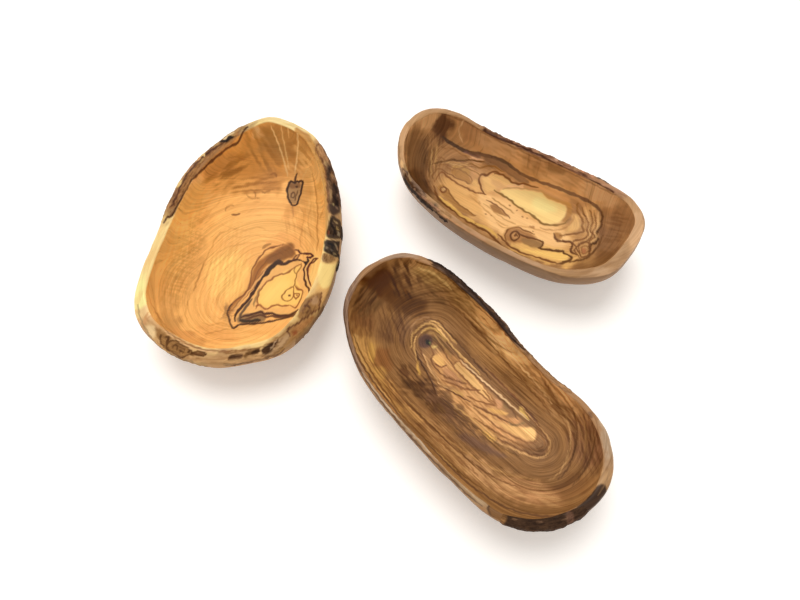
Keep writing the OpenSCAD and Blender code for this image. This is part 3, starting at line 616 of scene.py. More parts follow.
ROUND_BAND_LINES_PX = dict(
    back_inner=(1.8, "#4c2d1a", 0.95, (*BARK_EDGE_PX, (168, 217), (164, 223))),
    back_strip=(5, "#9e6c3e", 0.85, BARK_STRIP_PX),
    back_split=(1.6, "#55301d", 0.9, (
        (222, 144), (203, 158), (190, 172), (185, 179), (174, 203), (169, 209))),
    back_fleck_a=(1.6, "#b58560", 0.8, ((194, 164.5), (190, 169), (187.5, 173))),
    back_fleck_b=(1.5, "#a87a58", 0.8, ((184.5, 176), (182, 180.5))),
    back_fleck_c=(1.5, "#b08260", 0.75, ((176.5, 189), (174, 193.5))),
    back_fleck_d=(2.2, "#b98656", 0.85, ((170.5, 204.5), (168.5, 209.5))),
    back_black=(2.4, "#1e140e", 0.95, ((220.5, 142.5), (226, 141), (229.5, 138.5), (233.5, 137))),
    back_wedge=(1.6, "#e8c896", 0.9, ((224, 140), (228.5, 136), (234.5, 133))),
    back_pale_spot=(4.6, "#edc888", 0.95, ((203.5, 155.5), (204.5, 155))),
    back_pale_spot_b=(1.8, "#e0a872", 0.9, ((201.5, 158), (198.5, 160.5))),
    back_mauve=(3, "#74483c", 0.7, ((238.5, 136), (239.5, 138))),
    right_edge=(1.4, "#7c5134", 0.85, ((321, 142), (316, 148), (318, 155), (325, 170), (329, 213))),
    right_fleck_a=(2, "#b08a70", 0.8, ((335.5, 194), (336.5, 196.5))),
    right_fleck_b=(2, "#a89060", 0.8, ((332.5, 204), (334, 205.5))),
    right_fleck_c=(1.6, "#9a7a60", 0.7, ((333, 178), (334, 181))),
    right_fleck_d=(1.6, "#8a6a50", 0.7, ((336, 207), (337.5, 209))),
    chip_rust=(1.8, "#96482e", 0.75, ((328.5, 231), (328.5, 234.5))),
    chip_fleck=(2, "#b09a78", 0.7, ((337, 232), (338.5, 236))),
    chip_fleck_b=(1.3, "#7a604a", 0.7, ((331, 222), (334, 226), (333, 231))),
    chip_fleck_c=(1.8, "#96784e", 0.8, ((334, 220.5), (336.5, 224))),
    chip_fleck_d=(1.5, "#a8864f", 0.8, ((338, 227), (336, 229.5), (338, 231))),
    chip_dark=(2.2, "#1c130d", 0.85, ((332, 219), (331, 224), (334, 230), (333, 236))),
    corner_dark=(2.2, "#18120d", 0.85, ((328, 243), (333, 246), (331, 252))),
    corner_fleck_e=(1.4, "#8a4a30", 0.75, ((336.5, 251), (338.5, 247))),
    right_fleck_e=(1.8, "#a07c50", 0.8, ((329.5, 190), (331, 195), (330.5, 199))),
    right_fleck_f=(1.8, "#8f6a44", 0.8, ((331, 174), (333, 178))),
    right_dark_b=(2.4, "#20150e", 0.85, ((333, 184), (336, 190), (335, 199), (338, 206))),
    chip_foot=(1.2, "#e0b078", 0.7, ((327, 239), (334, 240), (341, 240))),
    corner_fleck_a=(2.2, "#8f7a5e", 0.8, ((326, 246.5), (327, 248))),
    corner_fleck_b=(1.8, "#6f5e4c", 0.8, ((330.5, 249), (332.5, 250.5))),
    corner_fleck_c=(1.8, "#937b52", 0.8, ((333.5, 253.5), (335, 254.5))),
    corner_fleck_d=(1.3, "#a08a68", 0.7, ((334, 244), (337, 247), (338, 251))),
    left_lip_line=(1.1, "#8a5a34", 0.85, (
        (154, 317), (169, 333), (177, 338), (195, 347), (218, 351), (235, 351), (250, 349))),
    # A painted highlight along the rounded lip on the near left
    left_lip_highlight=(1.1, "#f0bd84", 0.8, ((163, 328), (171, 336), (190, 347), (202, 351), (216, 353))),
    left_strokes_a=(1.4, "#d3965e", 0.8, ((148.5, 312.5), (143, 322.5))),
    left_strokes_b=(1.2, "#cf9462", 0.7, ((152, 315), (147, 319), (144.5, 326))),
    left_ring_a=(1.4, "#5a381c", 0.9, ((162, 334.5), (160.5, 339.5), (162.5, 344), (165.5, 347))),
    left_ring_b=(2.2, "#4f3018", 0.9, ((166.5, 336.5), (169, 338), (168, 341.5), (166.5, 344.5))),
    left_ring_c=(1.3, "#5a381c", 0.9, (
        (171, 341), (176, 341), (181, 344), (191, 350), (192, 354), (184, 356), (179, 356),
        (167, 347)), True),
    left_ring_d=(1.3, "#5a381c", 0.85, (
        (173.5, 348), (174, 345.5), (176.5, 344.5), (178.5, 346.5), (177, 349.5))),
    left_ring_e=(1.2, "#6b4526", 0.8, ((180, 347), (183, 347.5), (185, 350), (183, 353))),
    left_core_a=(2.6, "#4a2c18", 0.85, ((180.5, 351), (181.5, 350))),
    left_core_b=(2.4, "#4a2c18", 0.85, ((188.5, 352), (190, 351.5))),
    left_tail=(1.6, "#553418", 0.9, (
        (192.5, 353.5), (197.5, 355), (202.5, 355.5), (206, 353.5), (202, 352.5), (197.5, 351.5),
        (194.5, 352.5)), True),
    left_tail_core=(1.6, "#6b4426", 0.85, ((195, 353.5), (203, 354))),
    front_top=(1.2, "#8d6238", 0.8, (
        (220, 352), (232, 353), (244, 351), (263, 346), (284, 334), (289, 329))),
    front_edge=(1.2, "#8a6640", 0.8, ((289, 336), (287, 341), (279, 349), (273, 354), (264, 357))),
    front_scratch=(1.1, "#8a6440", 0.7, ((283, 338), (279, 343), (274, 347.5))),
    front_scratch_b=(1, "#d8b488", 0.7, ((277, 339.5), (270, 349))),
    front_tip=(1.4, "#5c3a1e", 0.85, ((227.5, 359.5), (229.5, 357), (232, 356.5))),
    side_edge=(1.4, "#5a3420", 0.9, (
        (321, 292), (321, 298), (319, 305), (316, 310), (289, 329), (288, 332), (290, 336))),
    side_flecks=(1.8, "#5a3824", 0.8, ((304, 306.5), (308, 306), (310, 309.5), (306, 313))),
    side_vein=(1.1, "#6b4430", 0.8, ((312, 299), (304, 308), (303, 314))),
    outer_edge=(1.2, "#8d7350", 0.7, (
        (138, 305), (142, 322), (152, 339), (166, 351), (184, 359), (206, 364), (232, 364), (258, 361),
        (280, 353), (300, 340), (318, 322), (330, 303), (338, 284))))
OVAL_HOLLOW_WASHES_PX = dict(
    left_top=(425, 120, 18, 8, -10, "#ae8053", 0.9),
    # A painted shadow down the left end's wall, beside a fold that only the paint shows
    left_end_shadow=(442, 127, 9, 17, 12, "#53331f", 0.9),
    left_wall=(416, 150, 14, 22, -16, "#6f4b2c", 0.95),
    left_wall_low=(418, 184, 12, 18, -30, "#53331b", 0.95),
    left_foot=(432, 208, 14, 9, 45, "#7c5b38", 0.9),
    near_wall_left=(462, 230, 26, 8, 34, "#8f673c", 0.9),
    near_wall=(506, 255, 34, 8, 24, "#9d7144", 0.9),
    near_wall_right=(562, 272, 34, 6, 6, "#9a6e44", 0.9),
    ridge=(474, 131, 18, 10, 34, "#92633c", 0.9),
    far_wall_left=(497, 146, 24, 8, 26, "#a97c52", 0.85),
    far_wall=(548, 170, 30, 10, 26, "#986b43", 0.9),
    far_wall_right=(600, 194, 22, 9, 26, "#ae8156", 0.9),
    right_end=(622, 220, 14, 16, 0, "#8b5f3a", 0.95),
    right_deep=(608, 243, 14, 14, 0, "#8a5f3b", 0.95),
    right_low=(594, 262, 22, 9, -20, "#794f2a", 0.9),
    right_deep_line=(602, 228, 4, 20, 10, "#7a5030", 0.5),
    floor=(520, 222, 72, 23, 28, "#fabe74", 0.9),
    floor_left=(462, 196, 28, 14, 40, "#ecb168", 0.8),
    floor_upper=(500, 186, 40, 10, 26, "#dfa468", 0.7),
    floor_right=(590, 226, 10, 22, 0, "#cf9a5e", 0.85),
    floor_near=(545, 252, 34, 9, 14, "#ecb566", 0.85),
    above_cream=(540, 188, 24, 6, 14, "#c98f58", 0.7),
    calm_floor=(515, 215, 80, 36, 28, 0.45, 1),
    calm_cream=(530, 205, 44, 24, 20, 0.25, 1),
    left_strong=(418, 165, 20, 46, -20, 1.8, 1))
OVAL_HOLLOW_STROKES_PX = dict(
    left_waves=(430, 158, 22, 8, 96, 2.2, "#5a3a1e", 0.6),
    left_waves_pale=(436, 160, 22, 6, 96, 3, "#b98a54", 0.5),
    left_low_waves=(420, 190, 22, 8, 50, 2.2, "#4a3018", 0.5),
    far_strokes=(540, 165, 60, 12, 26, 3, "#85562f", 0.4),
    far_strokes_pale=(560, 178, 60, 10, 26, 4, "#c08f60", 0.35),
    right_strokes=(616, 232, 10, 26, 14, 3, "#6d4526", 0.45),
    near_strokes=(505, 254, 50, 8, 26, 2.6, "#7a5430", 0.45),
    floor_strokes=(505, 210, 60, 12, 32, 2.6, "#cf9252", 0.45),
    floor_strokes_right=(575, 235, 12, 24, 8, 2.4, "#b57c44", 0.45))
OVAL_HOLLOW_PATCHES_PX = dict(
    # Painted shade: a grey smear along the foot of the far wall
    far_foot_grey_shade=("#78583e", 0.7, 2.6, (
        (484, 157), (492, 157), (502, 161), (509, 166), (507, 170), (490, 166), (484, 163))),
    rosy_patch=("#dfa678", 0.8, 2, ((471, 156), (480, 156), (484, 160), (478, 163), (472, 161))),
    wall_shadow=("#6d4828", 0.7, 3, ((549, 163), (560, 166), (565, 173), (555, 174), (548, 170))),
    tan_middle=("#fcc582", 0.9, 3, (
        (478, 196), (490, 195), (510, 202), (520, 212), (536, 222), (560, 228), (570, 240), (560, 247),
        (540, 244), (500, 232), (486, 218))),
    cream=("#fcd283", 1, 1.6, (
        (500, 190), (510, 189), (540, 192), (548, 197), (555, 201), (562, 202), (566, 206), (567, 212),
        (564, 218), (560, 222), (551, 224), (543, 222), (520, 207), (505, 196))),
    cream_heart=("#fee593", 0.8, 4, ((536, 198), (550, 203), (556, 211), (544, 213), (532, 206))),
    cream_border=("#b27c40", 0.95, 1, (
        (540, 190), (555, 198), (567, 201), (571, 205), (572, 211), (570, 217), (565, 222), (562, 221),
        (566, 216), (567, 209), (565, 205), (550, 200), (544, 195))),
    above_border=("#bb8450", 0.8, 2, ((538, 188), (556, 192), (570, 198), (568, 202), (552, 197))),
    cream_left=("#f3bd74", 0.9, 2.4, (
        (482, 178), (491, 175), (496, 174), (510, 181), (515, 186), (512, 187), (500, 186), (496, 190),
        (487, 192), (484, 186))),
    cream_left_tan=("#dba468", 0.8, 2, ((491, 180), (500, 181), (504, 187), (496, 188))),
    pale_under=("#eab27a", 0.8, 1, ((506, 185), (523, 185), (524, 188), (510, 188))),
    pocket=("#eeba72", 0.85, 2, (
        (572, 214), (577, 214), (580, 221), (580, 228), (575, 231), (567, 232), (568, 226), (572, 220))),
    brown_lens=("#aa763e", 0.95, 0.8, (
        (438, 186), (442, 185), (446, 187), (459, 204), (465, 209), (476, 216), (469, 215), (456, 208),
        (440, 192))),
    left_knot=("#cf9f66", 0.9, 0.8, ((441, 187.5), (444.5, 187), (446, 190), (443.5, 192))),
    golden_left=("#c28f4c", 0.85, 2, ((452, 166), (464, 166), (470, 172), (466, 177), (455, 173))),
    brown_left=("#a9753d", 0.9, 1, (
        (451, 171), (458, 170), (466, 174), (471, 181), (470, 184), (455, 176))),
    pale_wedge=("#e2ad68", 0.9, 0.8, ((472, 183.5), (475.5, 179), (478, 182), (475, 186))),
    centre_lens=("#a97541", 0.95, 0.8, (
        (490, 205), (495, 205), (505, 214), (508, 217), (497, 213), (492, 210))),
    knot_shade=("#ab7442", 0.9, 2, (
        (504, 233), (510, 228), (517, 228), (532, 234), (536, 240), (514, 243), (507, 240))),
    knot_heart=("#c79058", 0.8, 1, ((512, 234), (517, 232.5), (518, 236.5), (514, 239))),
    tail_fill=("#9a7042", 0.9, 1, ((522, 238), (540, 241), (542, 245), (538, 248), (529, 246), (523, 243))),
    notch_fill=("#b07a40", 0.9, 0.8, ((554.5, 233), (561, 233.5), (562, 238.5), (556, 239))),
    near_gold=("#fdca70", 0.9, 1.5, (
        (512, 244), (524, 249), (562, 253), (568, 257), (560, 260), (530, 252), (516, 247))),
    square_red=("#b06a40", 0.8, 0.8, ((581.5, 249), (585.5, 249), (586, 253), (582, 253))))
OVAL_HOLLOW_LINES_PX = dict(
    lip_shade=(1.6, "#6b4a2e", 0.75, (
        (424, 111), (413, 116), (406, 126), (403, 138), (402, 152), (404, 168), (411, 184), (421, 200),
        (434, 214), (470, 240), (492, 254), (540, 273), (566, 278), (592, 277), (612, 268), (626, 250),
        (634, 232), (637, 214), (630, 200))),
    lip_far=(1.3, "#7a5030", 0.7, (
        (440, 113), (456, 118), (470, 124), (486, 134), (504, 143), (610, 192), (624, 200))),
    cream_left_edge=(1.7, "#744622", 0.95, (
        (486, 194), (482, 191), (479, 180), (481, 175), (487, 175), (490, 173), (495, 172), (508, 178),
        (513, 183), (526, 184), (531, 186))),
    # Painted shade: a dark line in the crease where the far wall meets the floor
    far_foot_shade=(3.2, "#4a3526", 0.9, (
        (443, 137), (449, 142), (463, 150), (472, 153), (487, 156), (503, 161), (520, 173))),
    # Painted shade: the same crease line, further right
    far_foot_shade_on=(3, "#5c3e2a", 0.85, (
        (512, 168), (520, 173), (532, 179), (560, 189), (588, 201), (599, 209), (603, 217))),
    # Painted shade: a mauve smear along that crease
    far_foot_mauve_shade=(2.6, "#6a463e", 0.6, ((464, 152), (480, 157))),
    foot_shade=(6, "#6e4c34", 0.55, ((470, 153), (494, 161), (516, 176), (528, 182))),
    # A painted highlight along the edge of a fold in the left end's wall, which the mesh doesn't have
    ridge_highlight=(1.5, "#b98c5e", 0.8, ((466, 118), (462, 123), (459, 130), (460, 137), (463, 143))),
    left_contour_a=(1.1, "#8a5c34", 0.8, (
        (436, 160), (440, 157), (446, 160), (454, 159), (462, 162), (470, 160), (478, 162))),
    left_contour_b=(1.1, "#8a5c34", 0.8, (
        (435, 168), (440, 164), (448, 165), (454, 168), (462, 168), (468, 166), (476, 168))),
    left_contour_c=(1.1, "#80522c", 0.8, ((433, 176), (437, 169), (443, 170), (449, 174), (470, 184))),
    left_contour_d=(1.1, "#8a5c34", 0.8, ((440, 146), (446, 149), (451, 148), (468, 158))),
    left_contour_e=(1.1, "#c99a60", 0.7, ((438, 163), (444, 162), (460, 165), (468, 163))),
    left_contour_f=(1, "#7a4e2a", 0.8, ((427, 160), (427, 168), (426, 176), (432, 194))),
    lobe=(1.5, "#85522a", 0.95, ((434, 182), (440, 173), (444, 173), (451, 179), (472, 191), (486, 194))),
    near_foot=(2, "#6b3f1c", 0.95, (
        (434, 186), (437, 196), (441, 201), (469, 222), (484, 230), (490, 234), (503, 247))),
    near_foot_gold=(2.4, "#e6b25a", 0.85, ((440, 197), (466, 218), (490, 230), (497, 237))),
    lens_edge=(1.2, "#85562a", 0.9, ((443, 186), (448, 189), (451, 195), (460, 205), (476, 216))),
    left_knot_ring=(1.1, "#744222", 0.95, (
        (441, 188), (443.5, 187), (446, 189), (444.5, 192), (441.5, 191.5)), True),
    left_wave_a=(1.1, "#7c5228", 0.85, ((430, 150), (429, 163), (430, 170), (429, 178))),
    left_wave_b=(1.1, "#7c5228", 0.85, ((434, 150), (432, 166), (432, 172), (433, 178))),
    left_wave_c=(1.1, "#85592c", 0.8, ((438, 148), (435, 160), (436, 166), (435, 172))),
    left_wave_d=(1.2, "#c09058", 0.7, ((432, 150), (431, 174))),
    left_wave_e=(1.2, "#bd8d54", 0.7, ((437, 150), (434, 166))),
    contour_a=(1.5, "#64401f", 0.95, (
        (432, 164), (451, 160), (456, 160), (460, 161), (468, 160), (484, 162))),
    contour_b=(1.3, "#855628", 0.9, (
        (468, 164), (472, 164), (475, 166), (481, 168), (491, 166), (504, 172))),
    contour_c=(1.1, "#956436", 0.85, (
        (439, 166), (443, 164), (451, 170), (458, 169), (466, 173), (472, 179), (471, 184))),
    contour_d=(1.1, "#9a6a38", 0.8, ((462, 166), (479, 174), (478, 179))),
    contour_e=(1.1, "#c28f54", 0.8, ((446, 163), (454, 162), (470, 166))),
    spot_a=(3, "#cf995c", 0.8, ((479, 203), (480, 203.5))),
    spot_b=(1.4, "#8d5628", 0.85, ((485.5, 214), (486.5, 214))),
    spot_c=(1.4, "#8d5628", 0.8, ((491, 215.5), (492, 216))),
    spot_d=(1.4, "#8d5628", 0.8, ((475, 223), (476, 223.5))),
    spot_e=(1.3, "#8d5628", 0.75, ((509, 205.5), (510, 206))),
    spot_f=(1.3, "#8d5628", 0.75, ((516, 210), (517, 210.5))),
    spot_g=(1.3, "#8d5628", 0.75, ((522, 216.5), (523, 217))),
    spot_h=(1.3, "#8d5628", 0.75, ((526.5, 218), (527.5, 218))),
    centre_top=(1.2, "#855630", 0.9, ((486, 200), (491, 202), (501, 209), (510, 218))),
    upper_streak=(1.3, "#b58248", 0.85, ((492, 198), (514, 213))),
    upper_streak_b=(1.1, "#c08c50", 0.7, ((484, 204), (500, 216), (508, 221), (516, 224))),
    cream_low=(1.7, "#85602a", 0.95, (
        (494, 190), (510, 200), (518, 207), (532, 215), (540, 222), (545, 224), (551, 225), (557, 225),
        (563, 224), (568, 220))),
    cream_top=(1.1, "#b5854c", 0.85, ((503, 189), (510, 188), (519, 188), (542, 191))),
    line_above=(1.4, "#744622", 0.9, ((495, 174), (502, 175), (516, 184), (523, 184), (538, 188))),
    maze_a=(1.6, "#85562a", 0.95, (
        (578, 203), (577, 210), (583, 221), (582, 226), (584, 231), (579, 233), (559, 236))),
    maze_notch=(2, "#643a1a", 0.95, (
        (554, 234), (555, 238), (559, 241), (570, 242), (572, 245), (571, 250), (573, 253), (576, 255))),
    maze_b=(1.4, "#7a4c26", 0.95, (
        (582, 207), (583, 213), (587, 219), (588, 224), (587, 230), (588, 236), (583, 239), (573, 242),
        (576, 247), (574, 250), (580, 258))),
    maze_c=(1.4, "#7a4c26", 0.95, (
        (590, 210), (593, 222), (590, 229), (592, 235), (587, 241), (577, 246), (578, 251), (581, 256))),
    maze_d=(1.3, "#744622", 0.9, (
        (594, 211), (596, 226), (593, 232), (594, 237), (590, 241), (589, 247), (590, 250))),
    maze_e=(1.7, "#543216", 0.95, (
        (602, 212), (602, 219), (601, 222), (601, 226), (595, 236), (598, 239), (596, 243), (591, 245),
        (589, 255))),
    maze_pale=(1.6, "#dba86c", 0.85, ((598, 212), (598, 226), (595, 232), (596, 238), (592, 243))),
    maze_pale_b=(1.4, "#dba86c", 0.8, ((586, 210), (590, 224), (589, 230), (590, 236), (585, 241))),
    square_a=(1.1, "#7a4c26", 0.9, ((580, 244), (589, 243), (590, 254), (581, 256)), True),
    square_b=(1, "#8d5c30", 0.85, ((582, 247), (587.5, 246.5), (587.5, 253), (582.5, 253.5)), True),
    foot_right=(1.7, "#643e1e", 0.9, ((557, 264), (586, 258), (598, 246), (603, 236))),
    near_outline=(1.8, "#744622", 0.95, ((498, 234), (510, 246), (517, 250), (526, 254), (556, 263))),
    near_outline_pale=(1.4, "#d6a05c", 0.85, ((508, 247), (517, 252), (546, 262))),
    gold_top=(1.8, "#5c3818", 0.95, (
        (538, 248), (557, 251), (563, 251), (564, 253), (572, 258), (563, 262))),
    knot_ring=(1.6, "#643c1e", 0.95, (
        (511, 237), (511, 233.5), (514, 231), (517.5, 232), (519.5, 235), (517.5, 238.5), (514, 240.5),
        (511.5, 239.5)), True),
    knot_core=(1.6, "#6b4020", 0.9, ((514.5, 236.5), (516.5, 234), (517, 236))),
    knot_arc=(1.3, "#7c4e26", 0.9, (
        (506, 240), (505, 235), (508, 230), (514, 227), (522, 229), (535, 234))),
    tail=(1.6, "#643c1c", 0.95, ((519, 233), (524, 236), (540, 240), (543, 243), (541, 247), (538, 248))),
    bun=(2.2, "#a06a3a", 0.8, ((529.5, 227), (534.5, 227.5))),
    dot=(1.5, "#7c4e26", 0.85, ((532.5, 230.5), (533, 231))),
    grain_a=(1, "#c98f50", 0.7, ((470, 196), (498, 221), (508, 226))),
    grain_b=(1, "#c98f50", 0.7, ((496, 222), (506, 228), (520, 226), (540, 230), (552, 234))),
    grain_c=(1.1, "#b57e46", 0.7, ((540, 228), (552, 230), (562, 229), (570, 224), (574, 217), (573, 208))))
OVAL_BAND_WASHES_PX = dict(
    left_top=(415, 114, 18, 8, -30, "#c29465", 0.9),
    left_rim=(403, 138, 6, 20, 0, "#d09f6f", 0.9),
    top=(444, 110, 18, 6, 10, "#bd8f62", 0.8),
    outer_left=(430, 214, 26, 9, 42, "#544535", 0.85),
    near_lip=(468, 234, 30, 6, 33, "#c6946a", 0.85),
    near_rim=(520, 262, 34, 6, 22, "#c69b74", 0.9),
    near_rim_right=(560, 275, 26, 6, 6, "#bd9164", 0.9),
    rim_low_right=(600, 276, 22, 8, -16, "#cca37b", 0.9),
    rim_right=(636, 230, 8, 28, 8, "#dfb082", 0.9),
    rim_right_low=(624, 258, 14, 14, -45, "#c0966c", 0.85),
    rim_far_right=(632, 202, 12, 8, 40, "#c79868", 0.85),
    bark_back=(552, 161, 76, 5, 26.4, "#94664a", 0.95),
    bark_front=(414, 186, 26, 6, 57, "#7a5c46", 0.95))
OVAL_BAND_STROKES_PX = dict(
    rim_fibres=(600, 270, 50, 12, -20, 3, "#946c48", 0.35),
    bark_back_fibres=(552, 161, 76, 6, 26.4, 2.2, "#5a3824", 0.55),
    bark_back_pale=(560, 165, 60, 5, 26.4, 3.4, "#c08a68", 0.4),
    bark_front_fibres=(414, 186, 26, 6, 57, 2.2, "#4a3426", 0.5))
OVAL_BAND_PATCHES_PX = dict(
    start_dark=("#4a2a1a", 0.9, 1.5, (
        (483, 129), (487, 130), (497, 136), (498, 138), (490, 137), (484, 133))),
    tan_patch=("#9c7648", 0.9, 1.2, (
        (403, 164.5), (409, 165.5), (416, 171), (413, 172.5), (407, 171.5), (403.5, 169))),
    far_pale=("#c08c64", 0.8, 1.5, ((590, 175), (622, 190), (624, 194), (606, 187), (592, 180))),
    left_bright=("#efbc80", 0.85, 1, ((399.5, 160), (403, 162), (403.5, 168), (400.5, 168))))
OVAL_BAND_LINES_PX = dict(
    back_inner=(1.7, "#4c2a18", 0.95, (
        (485, 130), (489, 136), (498, 138), (537, 154), (578, 176), (598, 184), (614, 192))),
    back_outer=(1.1, "#5a5048", 0.9, ((480, 124), (498, 134), (536, 150), (572, 165), (625, 192))),
    back_bit_a=(1.8, "#cf9e7e", 0.85, ((554.5, 159.5), (557.5, 161))),
    back_bit_b=(2, "#d68c5e", 0.85, ((581.5, 171), (584, 172.5))),
    back_bit_c=(1.8, "#c78868", 0.8, ((590, 175.5), (592.5, 177))),
    back_bit_d=(1.8, "#2c1a12", 0.9, ((571, 165), (574.5, 167))),
    back_bit_e=(1.6, "#b98664", 0.7, ((510, 140.5), (516, 143.5))),
    back_bit_f=(1.6, "#b98664", 0.7, ((530, 149), (537, 152.5))),
    outer_dark=(1.9, "#432e1c", 0.9, (
        (400, 170), (402, 172), (413, 194), (417, 199), (436, 219), (464, 240))),
    pale_streak=(1.9, "#b08a64", 0.85, ((403, 170.5), (410.5, 183.5))),
    small_tan=(1.7, "#aa855c", 0.85, ((408.5, 173), (411, 181))),
    dark_line=(1.3, "#4a2c16", 0.9, ((405, 173), (410, 182), (417, 190))),
    # Painted highlight: two pinkish dabs where the near lip begins to catch the light
    rosy_highlight_a=(1.7, "#b58a6a", 0.85, ((411, 186), (412.5, 187.5))),
    rosy_highlight_b=(1.7, "#b58a6a", 0.85, ((414.5, 188.5), (415.5, 190))),
    blob_a=(3, "#3a1f12", 0.95, ((413.5, 191.5), (417.5, 194.5))),
    blob_b=(2.6, "#3a1f12", 0.95, ((418.5, 196), (421, 198))),
    blob_c=(2.6, "#3a1f12", 0.95, ((423, 200), (426, 203))),
    # Painted highlight along the near lip, over the bark
    lip_highlight_strip=(1.8, "#b28262", 0.85, ((417, 192), (440, 211))),
    mauve=(3.4, "#7a583a", 0.8, ((419, 200.5), (429.5, 209.5))),
    tan_fleck=(1.8, "#cf9f70", 0.85, ((432.5, 208), (436, 211))),
    # Painted highlight along the rounded near lip
    near_rim_highlight=(2.2, "#d8a170", 0.9, ((439, 212), (486, 247))),
    left_outer_edge=(1.1, "#8d6c4c", 0.7, (
        (430, 109), (416, 110), (405, 119), (400, 132), (399, 148), (400, 164))),
    right_outer_edge=(1.2, "#94704c", 0.7, (
        (642, 212), (644, 226), (640, 244), (630, 262), (614, 276), (594, 282), (570, 284))))
KIDNEY_HOLLOW_WASHES_PX = dict(
    left_end=(382, 282, 26, 16, 30, "#45230a", 0.94),
    left_end_pale=(370, 268, 14, 7, -20, "#6f4c2e", 0.85),
    left_hatch=(366, 302, 14, 14, 20, "#6a4526", 0.9),
    left_low=(362, 322, 12, 18, 0, "#744926", 0.85),
    top_light=(430, 276, 18, 9, 28, "#8c6638", 0.9),
    upper_dark=(406, 302, 24, 12, 30, "#5a3515", 0.9),
    middle_dark=(397, 330, 16, 14, 20, "#77502f", 0.9),
    left_gold=(368, 352, 12, 24, -20, "#b58346", 0.88),
    left_rust=(383, 358, 8, 12, -20, "#87542b", 0.85),
    upper_wall=(470, 296, 34, 14, 44, "#8e673a", 0.9),
    wall_glow=(508, 340, 30, 14, 46, "#c49964", 0.9),
    wall_glow_high=(490, 322, 22, 9, 44, "#b07e4a", 0.8),
    wall_right=(556, 396, 34, 16, 50, "#8c623c", 0.9),
    wall_right_high=(560, 378, 30, 8, 48, "#a97a4c", 0.7),
    right_end=(588, 440, 18, 30, -10, "#71492f", 0.95),
    right_low=(572, 488, 22, 12, -30, "#80552f", 0.95),
    low_middle=(524, 490, 36, 12, 16, "#ba8353", 0.9),
    near_low=(482, 474, 24, 10, 44, "#c69260", 0.9),
    near=(436, 430, 24, 10, 46, "#865a33", 0.9),
    left_near=(386, 388, 20, 9, 46, "#aa7642", 0.9),
    far_of_eye=(490, 362, 36, 8, 45, "#a0713f", 0.8),
    purple=(478, 444, 28, 9, 42, "#93673e", 0.9),
    purple_left=(440, 404, 26, 8, 46, "#6f4a30", 0.85),
    eye_floor=(470, 398, 52, 18, 46, "#e6a766", 0.9),
    eye_up=(452, 368, 18, 12, 46, "#d29555", 0.8),
    eye_low=(510, 430, 24, 12, 30, "#d6965b", 0.85),
    calm_left=(374, 300, 26, 46, 10, 0.3, 1),
    calm_eye=(478, 400, 60, 18, 46, 0.5, 1),
    strong_wall=(520, 350, 60, 30, 46, 1.25, 1))
KIDNEY_HOLLOW_STROKES_PX = dict(
    crosshatch=(402, 280, 20, 15, 64, 3.2, "#351b0a", 0.85),
    crosshatch_pale=(405, 283, 20, 15, 64, 4, "#7d562e", 0.5),
    hatch_across=(398, 284, 22, 10, 10, 3.6, "#4a2b14", 0.4),
    left_hatch=(366, 300, 17, 14, -50, 3, "#3c220e", 0.8),
    left_hatch_pale=(366, 302, 17, 14, -50, 4.6, "#7d5830", 0.5),
    left_uprights=(362, 322, 22, 12, 84, 2.8, "#553318", 0.5),
    middle_strokes=(395, 326, 26, 16, 74, 3, "#55331b", 0.55),
    middle_strokes_gold=(398, 330, 24, 14, 74, 5, "#9a6c38", 0.4),
    upper_strokes=(440, 290, 40, 12, 32, 2.6, "#553719", 0.5),
    wall_strokes=(505, 335, 64, 22, 47, 2.4, "#7a4f27", 0.55),
    wall_strokes_pale=(512, 345, 60, 18, 47, 3.4, "#d0a062", 0.5),
    right_strokes=(562, 405, 44, 18, 54, 2.2, "#6f4522", 0.55),
    right_strokes_pale=(560, 400, 40, 16, 54, 3.2, "#c1925c", 0.45),
    end_strokes=(590, 440, 34, 12, 80, 2.4, "#4f301a", 0.55),
    end_strokes_pale=(584, 446, 34, 12, 80, 3.6, "#9c7044", 0.45),
    low_strokes=(530, 492, 44, 12, 14, 2.4, "#7f532d", 0.5),
    low_strokes_pale=(520, 488, 44, 12, 20, 3.6, "#cb9a62", 0.45),
    near_strokes=(450, 446, 60, 12, 45, 2.4, "#6d4424", 0.55),
    near_strokes_pale=(456, 452, 60, 12, 45, 3.6, "#c4935c", 0.45),
    left_near_strokes=(380, 378, 34, 10, 52, 2.6, "#704623", 0.5),
    left_near_gold=(384, 384, 34, 10, 52, 4, "#cc9850", 0.45),
    eye_strokes=(470, 396, 50, 14, 46, 2.2, "#96602f", 0.5),
    eye_strokes_pale=(474, 400, 50, 14, 46, 3, "#ecb574", 0.5),
    cluster_strokes=(420, 388, 34, 9, 50, 2.6, "#44260f", 0.7),
    cluster_cross=(424, 388, 30, 8, 5, 3.4, "#4a2b14", 0.45),
    cluster_right=(450, 408, 26, 8, 30, 3, "#4f3018", 0.6),
    eye_foot_strokes=(486, 432, 34, 6, 40, 3, "#b98448", 0.5),
    purple_strokes=(466, 430, 34, 10, 45, 2.6, "#553823", 0.6))
